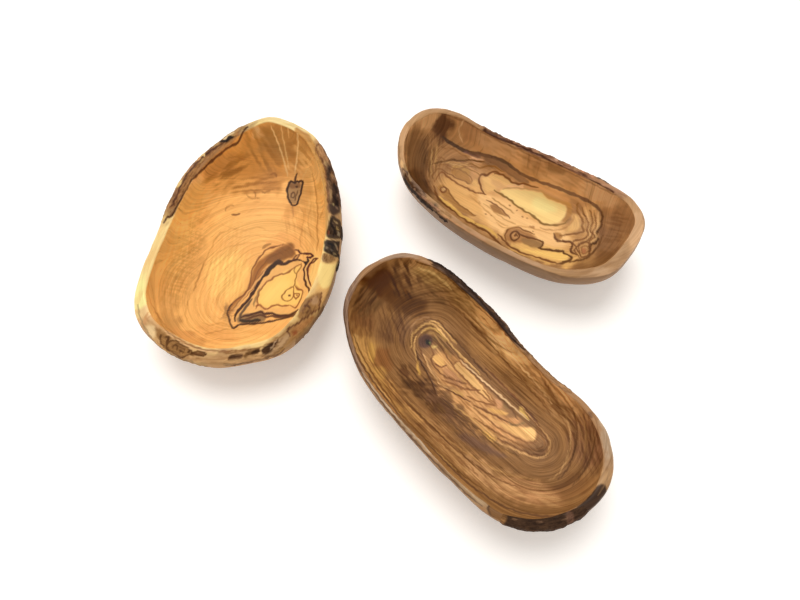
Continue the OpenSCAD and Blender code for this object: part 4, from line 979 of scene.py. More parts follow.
KIDNEY_HOLLOW_PATCHES_PX = dict(
    amber_a=("#bb8a42", 0.75, 1.2, (
        (370, 343), (374, 345), (375, 356), (373, 363), (369, 357), (369, 348))),
    amber_b=("#b08040", 0.7, 1.5, (
        (373, 366), (378, 370), (383, 366), (386, 371), (386, 378), (381, 380), (374, 372))),
    amber_band=("#b88a50", 0.85, 1.2, (
        (353, 334), (358, 336), (361, 349), (370, 372), (360, 357), (355, 346))),
    dark_a=("#4c2a15", 0.6, 1.6, ((399, 369), (404, 368), (409, 373), (407, 377), (401, 374))),
    dark_b=("#55361c", 0.6, 1.6, ((402, 380), (408, 380), (413, 386), (410, 390), (404, 386))),
    dark_c=("#55361c", 0.55, 1.8, ((412, 387), (418, 388), (425, 395), (423, 400), (415, 395))),
    dark_d=("#5c3c20", 0.6, 1.8, ((444, 393), (450, 394), (453, 400), (447, 401))),
    dark_e=("#5c3c20", 0.6, 1.8, ((455, 405), (462, 405), (464, 411), (457, 412))),
    dark_f=("#64421f", 0.7, 2, ((436, 404), (442, 406), (446, 413), (440, 412))),
    golden_wedge=("#d9a350", 0.95, 0.9, ((417, 360), (421, 375), (419, 375), (417, 370))),
    knot_brown=("#57392c", 0.95, 1.5, (
        (426, 334), (431, 336), (433, 341), (430, 347), (425, 348), (420, 346), (418, 341), (421, 336))),
    knot_core=("#1e1912", 0.97, 1, (
        (425.5, 340), (429, 339.5), (431.5, 342.5), (429.5, 345.5), (426, 344.5))),
    knot_pale=("#c9a35c", 0.9, 0.8, ((431.5, 345.5), (437, 345), (437.5, 347.5), (432, 348))),
    knot_side=("#7c5a33", 0.9, 1, ((432, 337), (437, 338), (437, 341.5), (433, 341.5))),
    upper_tongue=("#e2aa60", 0.95, 0.9, (
        (432, 357), (439.5, 355.5), (445, 365), (442.5, 366.5), (437.5, 365), (433.5, 361))),
    main_tongue=("#ebb56e", 0.97, 1, TONGUE_PX),
    rosy=("#b87f50", 0.85, 1.6, (
        (444, 368), (451, 370), (458, 376), (463, 383), (461, 386), (452, 383), (444, 377))),
    gold_strip=("#d9a45c", 0.9, 1, ((450, 390), (457, 391), (464, 395), (460, 397), (452, 393))),
    golden_wedge_right=("#deb05e", 0.95, 0.8, (
        (520, 406), (527, 413), (530, 420), (527, 420), (522, 416), (519, 412))),
    golden_centre=("#f1b86f", 0.95, 1.2, (
        (490, 415), (499, 422), (520, 427), (534, 428), (536, 436), (533, 441), (522, 438), (513, 434),
        (494, 421), (488, 416))),
    gold_above=("#e4ab5e", 0.95, 1, ((487, 408), (495, 409), (508, 413), (502, 415), (488, 410))),
    rosy_right=("#c98d5c", 0.8, 1.4, ((495, 399), (500, 400), (503, 407), (498, 408))),
    olive_right=("#7f6033", 0.75, 1.2, ((503.5, 400), (507, 400), (509, 408), (505, 408))),
    ragged_gold=("#dca653", 0.85, 1.2, ((482, 431), (489, 434), (496, 440), (493, 442), (486, 437))),
    purple_low=("#785540", 0.8, 2.5, (
        (460, 434), (470, 436), (506, 456), (494, 455), (476, 448), (462, 440))),
    low_gold=("#c08c50", 0.7, 2, ((402, 404), (412, 408), (424, 420), (420, 422), (408, 412))))
KIDNEY_HOLLOW_LINES_PX = dict(
    top_streak=(2, "#b08a52", 0.8, ((419, 268), (430, 272), (442, 280), (452, 290))),
    top_dark=(1.6, "#4f3015", 0.8, ((416, 262), (430, 266), (444, 274), (470, 298))),
    outer_arc=(1.4, "#9c7048", 0.9, (
        (411, 334), (412, 328), (414, 323), (417, 320), (426, 317), (430, 318))),
    loop_a=(1.6, "#ddaa66", 0.95, (
        (411, 347), (412, 335), (415, 332), (423, 325), (427, 324), (436, 326), (453, 347), (480, 374))),
    loop_a_dark=(1.1, "#6b4524", 0.85, (
        (414, 348), (413, 341), (415, 336), (420, 331), (424, 327), (429, 326), (434, 328), (451, 348),
        (474, 373))),
    loop_b=(1.5, "#d8a460", 0.9, ((429, 322), (432, 321), (437, 323), (457, 344))),
    loop_b_dark=(1.3, "#5c3a1e", 0.85, ((424, 321), (430, 319), (437, 321), (443, 326), (491, 380))),
    loop_left=(1.4, "#dea966", 0.9, ((417, 335), (415, 340), (414, 347), (417, 359))),
    knot_arc_a=(1.4, "#c99a52", 0.9, (
        (421, 333), (424, 330), (429, 328), (433, 328), (438, 331), (446, 342))),
    knot_arc_b=(1.2, "#7a5528", 0.9, ((422, 335), (426, 332), (430, 330), (435, 332), (449, 350))),
    knot_arc_c=(1.2, "#c09050", 0.85, ((427, 333), (432, 333), (436, 337), (452, 358))),
    knot_olive=(1.4, "#6b6a35", 0.8, ((430, 341.5), (430.5, 344.5))),
    tongue_foot=(1.5, "#744222", 0.95, ((434.5, 363.5), (438, 365.5), (442.5, 367), (446, 365.5))),
    fan_a=(1.3, "#6a4020", 0.95, ((419, 346), (422, 354), (437, 381), (442, 386), (470, 402))),
    fan_b=(1.5, "#4f2e16", 0.9, ((416, 351), (419, 359), (431, 381), (437, 396))),
    fan_c=(1.5, "#dba66a", 0.95, ((424, 355), (431, 371), (437, 380), (441, 385), (448, 388))),
    fan_d=(1.4, "#744824", 0.9, (
        (431, 348), (434, 354), (431, 358), (432, 363), (438, 371), (446, 377), (466, 384))),
    fan_e=(1.2, "#7c5028", 0.9, ((437, 342), (441, 347), (452, 364), (467, 381), (487, 399))),
    fan_f=(1.2, "#d59e5c", 0.8, ((437, 349), (450, 367), (466, 383))),
    tongue_edge=(1.3, "#9a6434", 0.9, TONGUE_PX, True),
    rosy_line_a=(1.1, "#96602f", 0.9, ((443.5, 377.5), (449.5, 377), (454, 378.5), (455, 381))),
    rosy_line_b=(1.5, "#85522a", 0.9, ((442, 380), (461, 387), (472, 390), (480, 390))),
    upper_pale=(1.5, "#efc28c", 0.95, ((460, 360), (529, 421))),
    upper_dark=(1.4, "#6d4624", 0.9, ((467, 368), (508, 406), (518, 420))),
    far_dark=(1.7, "#6b4226", 0.9, ((486, 368), (527, 410), (540, 427))),
    end_loop=(1.6, "#cc985e", 0.95, (
        (522, 406), (534, 422), (547, 436), (550, 443), (549, 450), (546, 455), (540, 457), (533, 457),
        (495, 441))),
    end_loop_dark=(1.4, "#744824", 0.9, (
        (523, 410), (543, 433), (547, 441), (547, 448), (542, 453), (534, 454), (526, 452), (495, 437))),
    loop_two=(1.6, "#85562a", 0.95, (
        (537, 427), (544, 441), (543, 447), (536, 449), (527, 448), (499, 434), (477, 420), (474, 418))),
    loop_three=(1.4, "#8a5a2e", 0.95, (
        (536, 427), (538, 434), (536, 440), (527, 442), (502, 430), (474, 408))),
    # A painted grey-green shadow in the hollow
    comb_shadow=(1.8, "#85653a", 0.85, ((509, 422), (513, 425), (518, 425), (525, 422))),
    brown_above=(1.8, "#7d4e26", 0.95, ((474, 405), (508, 422))),
    pocket=(1.4, "#8f5a2b", 0.95, ((467, 396), (481, 402), (494, 405), (495, 403), (491, 400), (483, 390))),
    pocket_b=(1.2, "#8f5a2b", 0.85, ((460, 389), (474, 390))),
    ragged=(1.3, "#64421f", 0.7, ((440, 398), (498, 444), (518, 456))),
    ragged_pale=(1.4, "#cf9c5c", 0.8, ((452, 404), (497, 438))),
    near_growth_a=(1.4, "#64401f", 0.8, (
        (352, 330), (362, 354), (374, 376), (388, 396), (404, 416), (442, 456), (462, 474), (484, 490))),
    near_growth_b=(1.3, "#cf9f5e", 0.75, (
        (358, 352), (368, 372), (382, 392), (398, 412), (416, 432), (456, 470))),
    near_growth_c=(1.3, "#6d4526", 0.75, (
        (380, 368), (394, 388), (410, 406), (450, 444), (472, 462), (496, 478), (520, 488))),
    near_growth_d=(1.2, "#bd8a50", 0.7, (
        (404, 396), (440, 432), (462, 450), (488, 466), (514, 476), (540, 480))),
    near_lip_pale=(4, "#c08a56", 0.75, (
        (354, 358), (358, 368), (366, 382), (376, 391), (395, 413), (401, 418))),
    far_growth_a=(1.3, "#6b4524", 0.8, ((440, 296), (456, 308), (472, 324), (536, 396), (550, 414))),
    far_growth_b=(1.4, "#d8aa70", 0.8, ((476, 318), (492, 334), (540, 388), (552, 404))),
    far_growth_c=(1.3, "#744a26", 0.8, ((470, 300), (506, 334), (558, 392), (572, 410), (577, 424))),
    far_growth_d=(1.2, "#cc9c62", 0.75, ((486, 312), (504, 328), (570, 402))),
    right_arc_a=(1.5, "#5c3a20", 0.85, (
        (572, 408), (576, 422), (577, 436), (574, 452), (568, 468), (558, 480))),
    right_arc_b=(1.4, "#c0905a", 0.8, (
        (566, 416), (570, 430), (570, 444), (566, 460), (558, 474), (546, 482))),
    right_arc_c=(1.3, "#5a3a20", 0.8, (
        (586, 404), (592, 422), (594, 440), (590, 458), (582, 474), (572, 486))),
    right_arc_d=(1.3, "#8d6238", 0.8, ((580, 410), (585, 426), (586, 444), (582, 462), (574, 476))),
    lip_shade=(1.7, "#5a3b26", 0.8, (
        (374, 268), (360, 278), (351, 292), (348, 308), (349, 326), (353, 344), (362, 364), (376, 386),
        (394, 408), (414, 430), (458, 474), (480, 492), (504, 506), (528, 514), (552, 516), (574, 510),
        (590, 498), (602, 480), (608, 460), (607, 440), (600, 420), (588, 402), (572, 388))),
    lip_shade_far=(1.5, "#4c3222", 0.8, (
        (400, 256), (420, 259), (440, 268), (460, 282), (478, 300), (514, 342), (534, 362), (556, 378),
        (572, 388))))
KIDNEY_BAND_WASHES_PX = dict(
    top=(396, 255, 26, 6, -4, "#b39277", 0.85),
    left=(350, 300, 8, 40, 8, "#97755b", 0.9),
    left_low=(352, 350, 8, 22, -20, "#96745a", 0.85),
    near=(400, 422, 50, 7, 47, "#ac845b", 0.9),
    near_low=(470, 490, 36, 7, 38, "#a5845f", 0.9),
    right=(608, 430, 8, 32, -6, "#c4a98c", 0.9),
    right_top=(594, 400, 14, 8, 50, "#b98e62", 0.9),
    right_low=(602, 478, 12, 16, -30, "#b68c60", 0.9),
    bark_back=(476, 300, 66, 6, 44, "#3c2a20", 0.97),
    bark_front=(545, 520, 50, 7, 4, "#412d1f", 0.97),
    bark_front_left=(498, 516, 9, 6, 20, "#8a6038", 0.95))
KIDNEY_BAND_STROKES_PX = dict(
    left_fibres=(350, 310, 44, 8, 84, 2.6, "#64483a", 0.45),
    near_fibres=(420, 440, 70, 8, 46, 2.8, "#7a573a", 0.45),
    near_pale=(440, 460, 70, 8, 44, 4, "#c9ab88", 0.4),
    right_fibres=(608, 440, 40, 8, 84, 2.8, "#96714e", 0.45),
    bark_back_pale=(476, 300, 66, 6, 44, 2.6, "#6b4c38", 0.3))
KIDNEY_BAND_PATCHES_PX = dict(
    bark_front=("#3f2b1d", 0.97, 1, (
        (491, 504), (512, 510), (540, 513), (564, 512), (580, 505), (601, 484), (606, 494), (598, 512),
        (582, 525), (562, 533), (540, 538), (514, 533), (498, 524), (488, 512))),
    bark_front_left=("#8a6038", 0.9, 1.5, (
        (490, 506), (500, 510), (506, 514), (506, 521), (500, 523), (490, 514))),
    bark_front_seam=("#6b4a38", 0.7, 1.5, ((566, 512), (572, 511), (574, 524), (568, 527))),
    near_mark_a=("#5c3c28", 0.7, 1, ((408, 434), (412, 436), (414, 440), (410, 439))),
    near_mark_b=("#5c3c28", 0.7, 1, ((423, 443), (428, 446), (429, 450), (425, 448))),
    right_mark=("#6d4a30", 0.7, 1, ((588, 412), (592, 413), (593, 418), (589, 417))))
KIDNEY_BAND_LINES_PX = dict(
    back_inner=(1.6, "#2c1c14", 0.9, (
        (428, 260), (444, 268), (460, 280), (476, 296), (508, 334), (524, 350))),
    back_fleck_b=(1.6, "#8a6448", 0.8, ((478, 294), (483, 300))),
    back_fleck_c=(1.4, "#9a7252", 0.75, ((500, 318), (505, 324))),
    front_fleck_a=(1.4, "#8a6446", 0.6, ((512, 518), (517, 520))),
    front_fleck_b=(1.2, "#785840", 0.6, ((536, 522), (542, 522))),
    front_fleck_c=(1.2, "#785840", 0.6, ((562, 520), (568, 518))),
    left_outer_edge=(1.3, "#5a4232", 0.8, (
        (380, 257), (362, 266), (350, 280), (345, 298), (344, 318), (348, 340), (356, 362), (370, 386),
        (388, 410), (410, 436), (458, 486), (482, 506))),
    right_outer_edge=(1.2, "#94714e", 0.75, (
        (596, 394), (608, 412), (614, 432), (614, 454), (608, 476), (598, 496))),
    # A painted highlight along the rounded near lip
    near_lip_highlight=(1.5, "#cfb394", 0.8, (
        (362, 372), (376, 392), (394, 414), (416, 438), (464, 484), (486, 500))))

# Each dish's figure in its hollow and on its rim band, each with the shade that it is painted on;
# the shade of its outer wall, the shade in which its hollow glows, and a last correction
FIGURES = {
    "round": dict(
        hollow=("#f5b263", ROUND_HOLLOW_WASHES_PX, ROUND_HOLLOW_STROKES_PX,
                ROUND_HOLLOW_PATCHES_PX, ROUND_HOLLOW_LINES_PX),
        band=("#efc983", ROUND_BAND_WASHES_PX, ROUND_BAND_STROKES_PX,
              ROUND_BAND_PATCHES_PX, ROUND_BAND_LINES_PX),
        outside="#c08f56", glow="#e0a25c", lift=1.0),
    "oval": dict(
        hollow=("#a07044", OVAL_HOLLOW_WASHES_PX, OVAL_HOLLOW_STROKES_PX,
                OVAL_HOLLOW_PATCHES_PX, OVAL_HOLLOW_LINES_PX),
        band=("#b88a5c", OVAL_BAND_WASHES_PX, OVAL_BAND_STROKES_PX,
              OVAL_BAND_PATCHES_PX, OVAL_BAND_LINES_PX),
        outside="#a57c54", glow="#a87848", lift=0.97),
    "kidney": dict(
        hollow=("#8d6238", KIDNEY_HOLLOW_WASHES_PX, KIDNEY_HOLLOW_STROKES_PX,
                KIDNEY_HOLLOW_PATCHES_PX, KIDNEY_HOLLOW_LINES_PX),
        band=("#a67a52", KIDNEY_BAND_WASHES_PX, KIDNEY_BAND_STROKES_PX,
              KIDNEY_BAND_PATCHES_PX, KIDNEY_BAND_LINES_PX),
        outside="#9a7047", glow="#8f6539", lift=0.98),
}
# The line that each dish's growth layers wrap round, from end to end in the photograph's pixels
HEART_LINES_PX = {
    "round": ((236, 302), (264, 270)),
    "oval": ((462, 176), (560, 226)),
    "kidney": ((430, 345), (538, 447)),
}
HEART_CAP = 14 * MM

# Marks: how far out a soft oval ends and over how much of that it fades, how long strokes are
# drawn for their width, the share of a line that tapers, how far its edge stands out and fades,
# the grey under which a line is dark enough to be pressed in, and how deep that is
OVAL_END = 1.35
OVAL_FADE = 0.75
STROKE_STRETCH = 0.13
LINE_TAPER = 0.12
LINE_EDGE_PX = 0.55
LINE_FADE_PX = 0.9
DARK_LINE = 0.45
PRESSED_IN = 0.2 * MM

# The photograph's own light, which is divided out of its colours: the way to its soft key and how
# wide that looks, how much of the light on a level surface comes from all round, how bright it all
# is, and how much the table and a dish's own walls send back
KEY_WAY = Vector((-0.12, 0.27, 0.955)).normalized()
KEY_SPREAD = math.radians(40)
SURROUND_SHARE = 0.5
LIGHT_GAIN = 1.12
TABLE_SHARE = 0.7
GLOW_SHARE = 0.6
# Limits on that: the sheen in a seen colour, the least of the colour that is kept, the least light,
# and the palest wood
SHEEN_SEEN = 0.004
LEAST_SEEN_SHARE = 0.4
LEAST_LIGHT = 0.12
PALEST = 0.97
# How it is sampled: places on a dish, rays from each, and where the rays start and end
LIGHT_ROWS = 44
LIGHT_COLUMNS = 48
SURROUND_RAYS = 64
KEY_RAYS = 12
LIGHT_LIFT = 0.4 * MM
LIGHT_REACH = 400 * MM
# What has been worked out, by dish and sizes
LIGHTS = {}


def curve_through(points, closed, step):
    """Points of a smooth curve through given points, about step apart."""
    points = np.array(points, float)
    count = len(points)
    if count < 3:
        return points
    spans = count if closed else count - 1
    out = []
    for k in range(spans):
        if closed:
            a, b, c, e = (points[(k + i) % count] for i in (-1, 0, 1, 2))
        else:
            a, b, c, e = (points[min(max(k + i, 0), count - 1)] for i in (-1, 0, 1, 2))
        t = np.linspace(0, 1, max(2, int(np.linalg.norm(c - b) / step) + 1))[:-1, None]
        out.append(between(a, b, c, e, t))
    out.append(points[:1] if closed else points[-1:])
    return np.concatenate(out)


def distance_to(places, path):
    """Distance of each place from a path, and how far along the path its nearest point is."""
    best = np.full(len(places), np.inf)
    along = np.zeros(len(places))
    run = 0.0
    for a, b in zip(path[:-1], path[1:]):
        span = b - a
        length = math.hypot(*span)
        if length == 0:
            continue
        t = np.clip((places - a) @ span / length ** 2, 0, 1)
        gap = np.linalg.norm(places - a - t[:, None] * span, axis=1)
        nearer = gap < best
        best[nearer] = gap[nearer]
        along[nearer] = run + t[nearer] * length
        run += length
    return best, along / max(run, 1e-9)


def inside(places, outline):
    """Whether each place lies within a closed outline."""
    within = np.zeros(len(places), bool)
    x, y = places.T
    for (ax, ay), (bx, by) in zip(outline[:-1], outline[1:]):
        if ay == by:
            continue
        crosses = (ay > y) != (by > y)
        within ^= crosses & (x < (bx - ax) * (y - ay) / (by - ay) + ax)
    return within


def wandered(places, size, seed, reach):
    """How far places wander about, so that the listed marks lose their even edges."""
    return np.stack([ripple(places, size, seed), ripple(places, size, seed + 1)], 1) * reach


class Paint:
    """Colours laid over vertices by their place in the photograph's frame."""

    def __init__(self, places, figure):
        base, washes, strokes, patches, lines = figure
        self.places = places
        self.colour = np.tile(srgb(base), (len(places), 1))
        self.streak = np.ones(len(places))
        self.press = np.zeros(len(places))
        self.rough = places + wandered(places, size=16, seed=5, reach=2.2)
        self.rough += wandered(places, size=4, seed=7, reach=0.5)
        self.fine = places + wandered(places, size=7, seed=9, reach=0.35)
        for marks, draw in ((washes, self.wash), (strokes, self.strokes), (patches, self.patch),
                            (lines, self.line)):
            for values in marks.values():
                draw(*values)

    def lay(self, some, share, shade):
        """Mixes a shade into some of the vertices."""
        share = share[:, None]
        self.colour[some] = self.colour[some] * (1 - share) + srgb(shade) * share

    def oval(self, x, y, wide, high, turn):
        """Offsets along and across a turned oval, and how far out each place lies in it."""
        turn = math.radians(turn)
        ways = np.array(((math.cos(turn), -math.sin(turn)), (math.sin(turn), math.cos(turn))))
        reach = np.hypot(*((self.rough - (x, y)) @ ways / (wide, high)).T)
        some = np.nonzero(reach < OVAL_END)[0]
        u, v = ((self.fine - (x, y)) @ ways).T
        return some, u[some], v[some], ease((OVAL_END - reach[some]) / OVAL_FADE)

    def wash(self, x, y, wide, high, turn, shade, strength):
        """A soft oval of colour, or of streak strength."""
        some, _, _, share = self.oval(x, y, wide, high, turn)
        if isinstance(shade, str):
            self.lay(some, strength * share, shade)
        else:
            self.streak[some] += (shade - self.streak[some]) * share * strength

    def strokes(self, x, y, wide, high, turn, spacing, shade, strength):
        """Parallel marks of uneven length along a soft oval."""
        some, u, v, share = self.oval(x, y, wide, high, turn)
        seed = int(x + 31 * y + 7 * spacing)
        marks = ripple(np.stack([u * STROKE_STRETCH, v], 1), spacing * 1.2, seed)
        self.lay(some, strength * share * ease(0.45 + 0.8 * marks), shade)

    def near(self, points, margin):
        """The vertices in a box round some points."""
        points = np.array(points)
        low, high = points.min(0) - margin, points.max(0) + margin
        return np.nonzero(((self.places > low) & (self.places < high)).all(1))[0]

    def patch(self, shade, strength, soft, points):
        """A filled outline with a soft edge."""
        path = curve_through(points, True, 2)
        some = self.near(path, 4 * soft)
        places = self.fine[some]
        gap, _ = distance_to(places, path)
        gap = np.where(inside(places, path), gap, -gap)
        self.lay(some, strength * ease(0.5 + gap / (2 * soft)), shade)

    def line(self, width, shade, strength, points, closed=False):
        """A drawn line that thins towards its open ends; a dark one is pressed in a little."""
        path = curve_through(points, closed, 1.5)
        some = self.near(path, width + 2)
        gap, along = distance_to(self.fine[some], path)
        if not closed:
            ends = np.minimum(along, 1 - along)
            width = width * (0.5 + 0.5 * ease(ends / LINE_TAPER))
        share = strength * ease((width / 2 + LINE_EDGE_PX - gap) / LINE_FADE_PX)
        self.lay(some, share, shade)
        darkness = max(0, 1 - srgb(shade).mean() / DARK_LINE)
        self.press[some] = np.maximum(self.press[some], share * darkness)


def grain_places(dish, points):
    """Places in the wood: round the heart line as a closed circle, and away from it."""
    a, b = (table_place(end, dish.sizes.floor) for end in HEART_LINES_PX[dish.name])
    span = b - a
    length = np.linalg.norm(span)
    way = span / length
    side = np.array([-way[1], way[0]])
    off = points[:, :2] - a
    t = off @ way
    across = off @ side
    beside = np.clip(t, 0, length)
    gap = np.hypot(t - beside, across)
    turned = math.pi / 2 - np.arctan2(np.abs(across), np.abs(t - beside) + 1e-9)
    run = np.where(t > length, length + HEART_CAP * turned,
                   np.where(t < 0, -HEART_CAP * turned, t))
    run = np.where(across >= 0, run, 2 * length + math.pi * HEART_CAP - run)
    circle = (2 * length + 2 * math.pi * HEART_CAP) / (2 * math.pi)
    turn = run / circle
    return np.stack([circle * np.cos(turn), circle * np.sin(turn), gap], 1)


def spread_ways(count, widest):
    """Evenly spread directions round +Z, cosine weighted, out to an angle's sine."""
    turn = np.arange(count) * math.pi * (3 - math.sqrt(5))
    reach = widest * np.sqrt((np.arange(count) + 0.5) / count)
    return np.stack([reach * np.cos(turn), reach * np.sin(turn), np.sqrt(1 - reach ** 2)], 1)


def light_of(dish):
    """Light on each point of a dish's grid: the share that comes straight, and how open it is."""
    sizes = tuple(getattr(dish.sizes, label) for label in dish.sizes.__annotations__)
    if (dish.name, sizes) in LIGHTS:
        return LIGHTS[dish.name, sizes]
    rows = np.unique(np.linspace(0, len(dish.grid) - 1, LIGHT_ROWS).astype(int))
    columns = np.arange(0, AROUND, AROUND // LIGHT_COLUMNS)
    body = dish.grid[np.ix_(rows, columns)]
    wide = len(columns)
    quads = [(r * wide + i, r * wide + (i + 1) % wide, (r + 1) * wide + (i + 1) % wide,
              (r + 1) * wide + i) for r in range(len(rows) - 1) for i in range(wide)]
    tree = BVHTree.FromPolygons(body.reshape(-1, 3).tolist(), quads)
    around = spread_ways(SURROUND_RAYS, 1)
    to_key = spread_ways(KEY_RAYS, math.sin(KEY_SPREAD / 2))
    key_basis = np.array(KEY_WAY.to_track_quat("Z", "Y").to_matrix())
    key_ways = to_key @ key_basis.T
    straight = np.zeros(body.shape[:2])
    open_share = np.zeros(body.shape[:2])
    for r, i in np.ndindex(body.shape[:2]):
        normal = dish.normal[rows[r], columns[i]]
        basis = np.array(Vector(normal).to_track_quat("Z", "Y").to_matrix())
        start = Vector(body[r, i] + normal * LIGHT_LIFT)
        for way in around @ basis.T:
            if tree.ray_cast(start, way, LIGHT_REACH)[0] is None:
                open_share[r, i] += 1 / SURROUND_RAYS
                straight[r, i] += (SURROUND_SHARE if way[2] > 0 else TABLE_SHARE) / SURROUND_RAYS
        for way in key_ways:
            facing = float(way @ normal)
            if facing > 0 and tree.ray_cast(start, way, LIGHT_REACH)[0] is None:
                straight[r, i] += (1 - SURROUND_SHARE) * facing / KEY_WAY.z / KEY_RAYS
    full = []
    for coarse in (straight, open_share):
        wrapped = np.concatenate([coarse, coarse[:, :1]], 1)
        at = np.arange(AROUND) * len(columns) / AROUND
        lines = [np.interp(at, np.arange(len(columns) + 1), line) for line in wrapped]
        full.append(np.stack([np.interp(np.arange(len(dish.grid)), rows, column)
                              for column in np.array(lines).T], 1))
    LIGHTS[dish.name, sizes] = full
    return full


def without_light(colour, straight, open_share, glow):
    """The wood's own colour: a seen colour with the photograph's light divided out.

    What isn't open sky is the dish's own wall, which glows in its own colour."""
    from_wall = GLOW_SHARE * (1 - open_share)[:, None] * to_linear(srgb(glow))
    light = LIGHT_GAIN * straight[:, None] + from_wall
    seen = to_linear(colour)
    own = np.maximum(seen - SHEEN_SEEN, seen * LEAST_SEEN_SHARE) / np.maximum(light, LEAST_LIGHT)
    return own * np.minimum(1, PALEST / own.max(1))[:, None]


# Growth layers on the outer walls: their step, how far and in what waves they wander, and how much
# they lighten and darken. Streaks are weaker there, and on the rim bands.
LAYER_STEP = 5 * MM
LAYER_WANDER = 1.2 * MM
LAYER_WAVES = 22 * MM
LAYER_DEPTH = 0.07
WEAK_STREAKS = 0.6


def paint_wood(dish, points, zone, straight, open_share):
    """The painted colour of every vertex of a dish in linear light, and its streaks and press."""
    figure = FIGURES[dish.name]
    places = photo_pixels(points)
    tint = np.tile(linear(figure["outside"]), (len(points), 1))
    heights = points[:, 2] + ripple(points, LAYER_WAVES, 3) * LAYER_WANDER
    tint *= 1 + LAYER_DEPTH * np.sin(heights * 2 * math.pi / LAYER_STEP)[:, None]
    streak = np.full(len(points), WEAK_STREAKS)
    press = np.zeros(len(points))
    for name in ("band", "hollow"):
        some = np.nonzero(zone == name)[0]
        paint = Paint(places[some], figure[name])
        tint[some] = without_light(paint.colour * figure["lift"], straight[some],
                                   open_share[some], figure["glow"])
        streak[some] = paint.streak * (WEAK_STREAKS if name == "band" else 1)
        press[some] = paint.press
    return tint, streak, press


# Unevenness left by the knife and by sanding: the size and height of its waves, and of those near
# the highest rim, with how far down these reach
TOOL_WAVES = ((26 * MM, 0.16 * MM), (7 * MM, 0.05 * MM))
RIM_WAVES = (9 * MM, 0.14 * MM)
RIM_REACH = 6 * MM
FOOT_EDGE = 1 * MM
SHARP_ANGLE = math.radians(50)


def build_dish(name, sizes):
    """Makes one dish of the set in place of its CAD node."""
    dish = Dish(name, sizes)
    counts = dish.counts()
    points = [dish.foot[None]]
    normals = [np.array([[0, 0, -1.0]])]
    zone = ["base"]
    starts = []
    straight, open_share = light_of(dish)
    lights = [np.array([[SURROUND_SHARE, 1.0]])]
    for ring, count in enumerate(counts):
        starts.append(sum(map(len, points)))
        keep = slice(None, None, AROUND // count)
        points.append(dish.grid[ring, keep])
        normals.append(dish.normal[ring, keep])
        zone += [dish.zone[ring]] * count
        lights.append(np.stack([straight[ring, keep], open_share[ring, keep]], 1))
    last = sum(map(len, points))
    points = np.concatenate(points + [dish.deep[None]])
    normals = np.concatenate(normals + [np.array([[0, 0, 1.0]])])
    zone = np.array(zone + ["hollow"])
    lights = np.concatenate(lights + [lights[-1][:1]])
    faces = [(0, starts[0] + (i + 1) % counts[0], starts[0] + i) for i in range(counts[0])]
    for ring in range(len(counts) - 1):
        faces += bridge(starts[ring], counts[ring], starts[ring + 1], counts[ring + 1])
    faces += [(starts[-1] + i, starts[-1] + (i + 1) % counts[-1], last)
              for i in range(counts[-1])]
    tint, streak, press = paint_wood(dish, points, zone, *lights.T)
    worked = (zone != "base") & (points[:, 2] > FOOT_EDGE)
    lift = sum(ripple(points, size, seed) * high for seed, (size, high) in enumerate(TOOL_WAVES, 1))
    edge = np.exp(-((points[:, 2] - dish.sizes.height) / RIM_REACH) ** 2)
    lift += ripple(points, RIM_WAVES[0], 4) * RIM_WAVES[1] * edge - press * PRESSED_IN
    points[worked] += normals[worked] * lift[worked, None]
    piece = make_object(name + "_dish_carved", points, faces)
    piece.data.set_sharp_from_angle(angle=SHARP_ANGLE)
    keep_vertex_values(piece, "tint", "FLOAT_COLOR", np.column_stack([tint, np.ones(len(tint))]))
    keep_vertex_values(piece, "streak", "FLOAT", streak)
    keep_vertex_values(piece, "grain", "FLOAT_VECTOR", grain_places(dish, points))
    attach(piece, dish.body)
    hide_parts(dish.node)
    return piece


# Bark over the top of a wall and its rim band: where on the wall its rings start, and how deep its
# underside lies in the wood. Its skin rises from its ends, from its low edge and from the lip, over
# these widths, and where it is bare it dips under the wood. Its low edge is set back a little.
BARK_START = 0.78
BARK_ROOT = 0.5 * MM
BARK_DIP = 0.3 * MM
END_RISE = 5 * MM
LOW_RISE = 1.5 * MM
LIP_RISE = 3 * MM
LIP_EDGE = 0.8 * MM
BARE_END = 1.2 * MM
BARE_LOW = 0.8 * MM
LOW_SETBACK = 1.6 * MM
# Waves in its skin and its edges: plates, crumbs, small wanderings and wide bays
BARK_WAVES = (6 * MM, 2 * MM, 5 * MM, 13 * MM)
# How dark the photograph shows a crust, over which range of greys, and how far a face has to look
# towards the camera for its painted colour to hold
CRUST_GREY = 0.66
CRUST_RANGE = 0.25
HIDDEN_FACING = 0.2
SHOWN_RANGE = 0.4


def slab_faces(rows, wide):
    """Faces of a slab whose top and underside are grids of rows by wide points."""
    half = rows * wide
    faces = []
    for r in range(rows - 1):
        for i in range(wide - 1):
            a, b = r * wide + i, r * wide + i + 1
            c, d = b + wide, a + wide
            faces.append((a, b, c, d))
            faces.append((half + a, half + d, half + c, half + b))
    last = (rows - 1) * wide
    for i in range(wide - 1):
        faces.append((i, half + i, half + i + 1, i + 1))
        faces.append((last + i, last + i + 1, half + last + i + 1, half + last + i))
    for a in range(0, last, wide):
        b = a + wide
        faces.append((a, b, half + b, half + a))
        faces.append((b - 1, half + b - 1, half + b + wide - 1, b + wide - 1))
    return faces


def run_along(skin, axis):
    """Mean distances along one axis of a grid of points, from its start."""
    steps = np.linalg.norm(np.diff(skin, axis=axis), axis=2).mean(1 - axis)
    return np.concatenate([[0], np.cumsum(steps)])


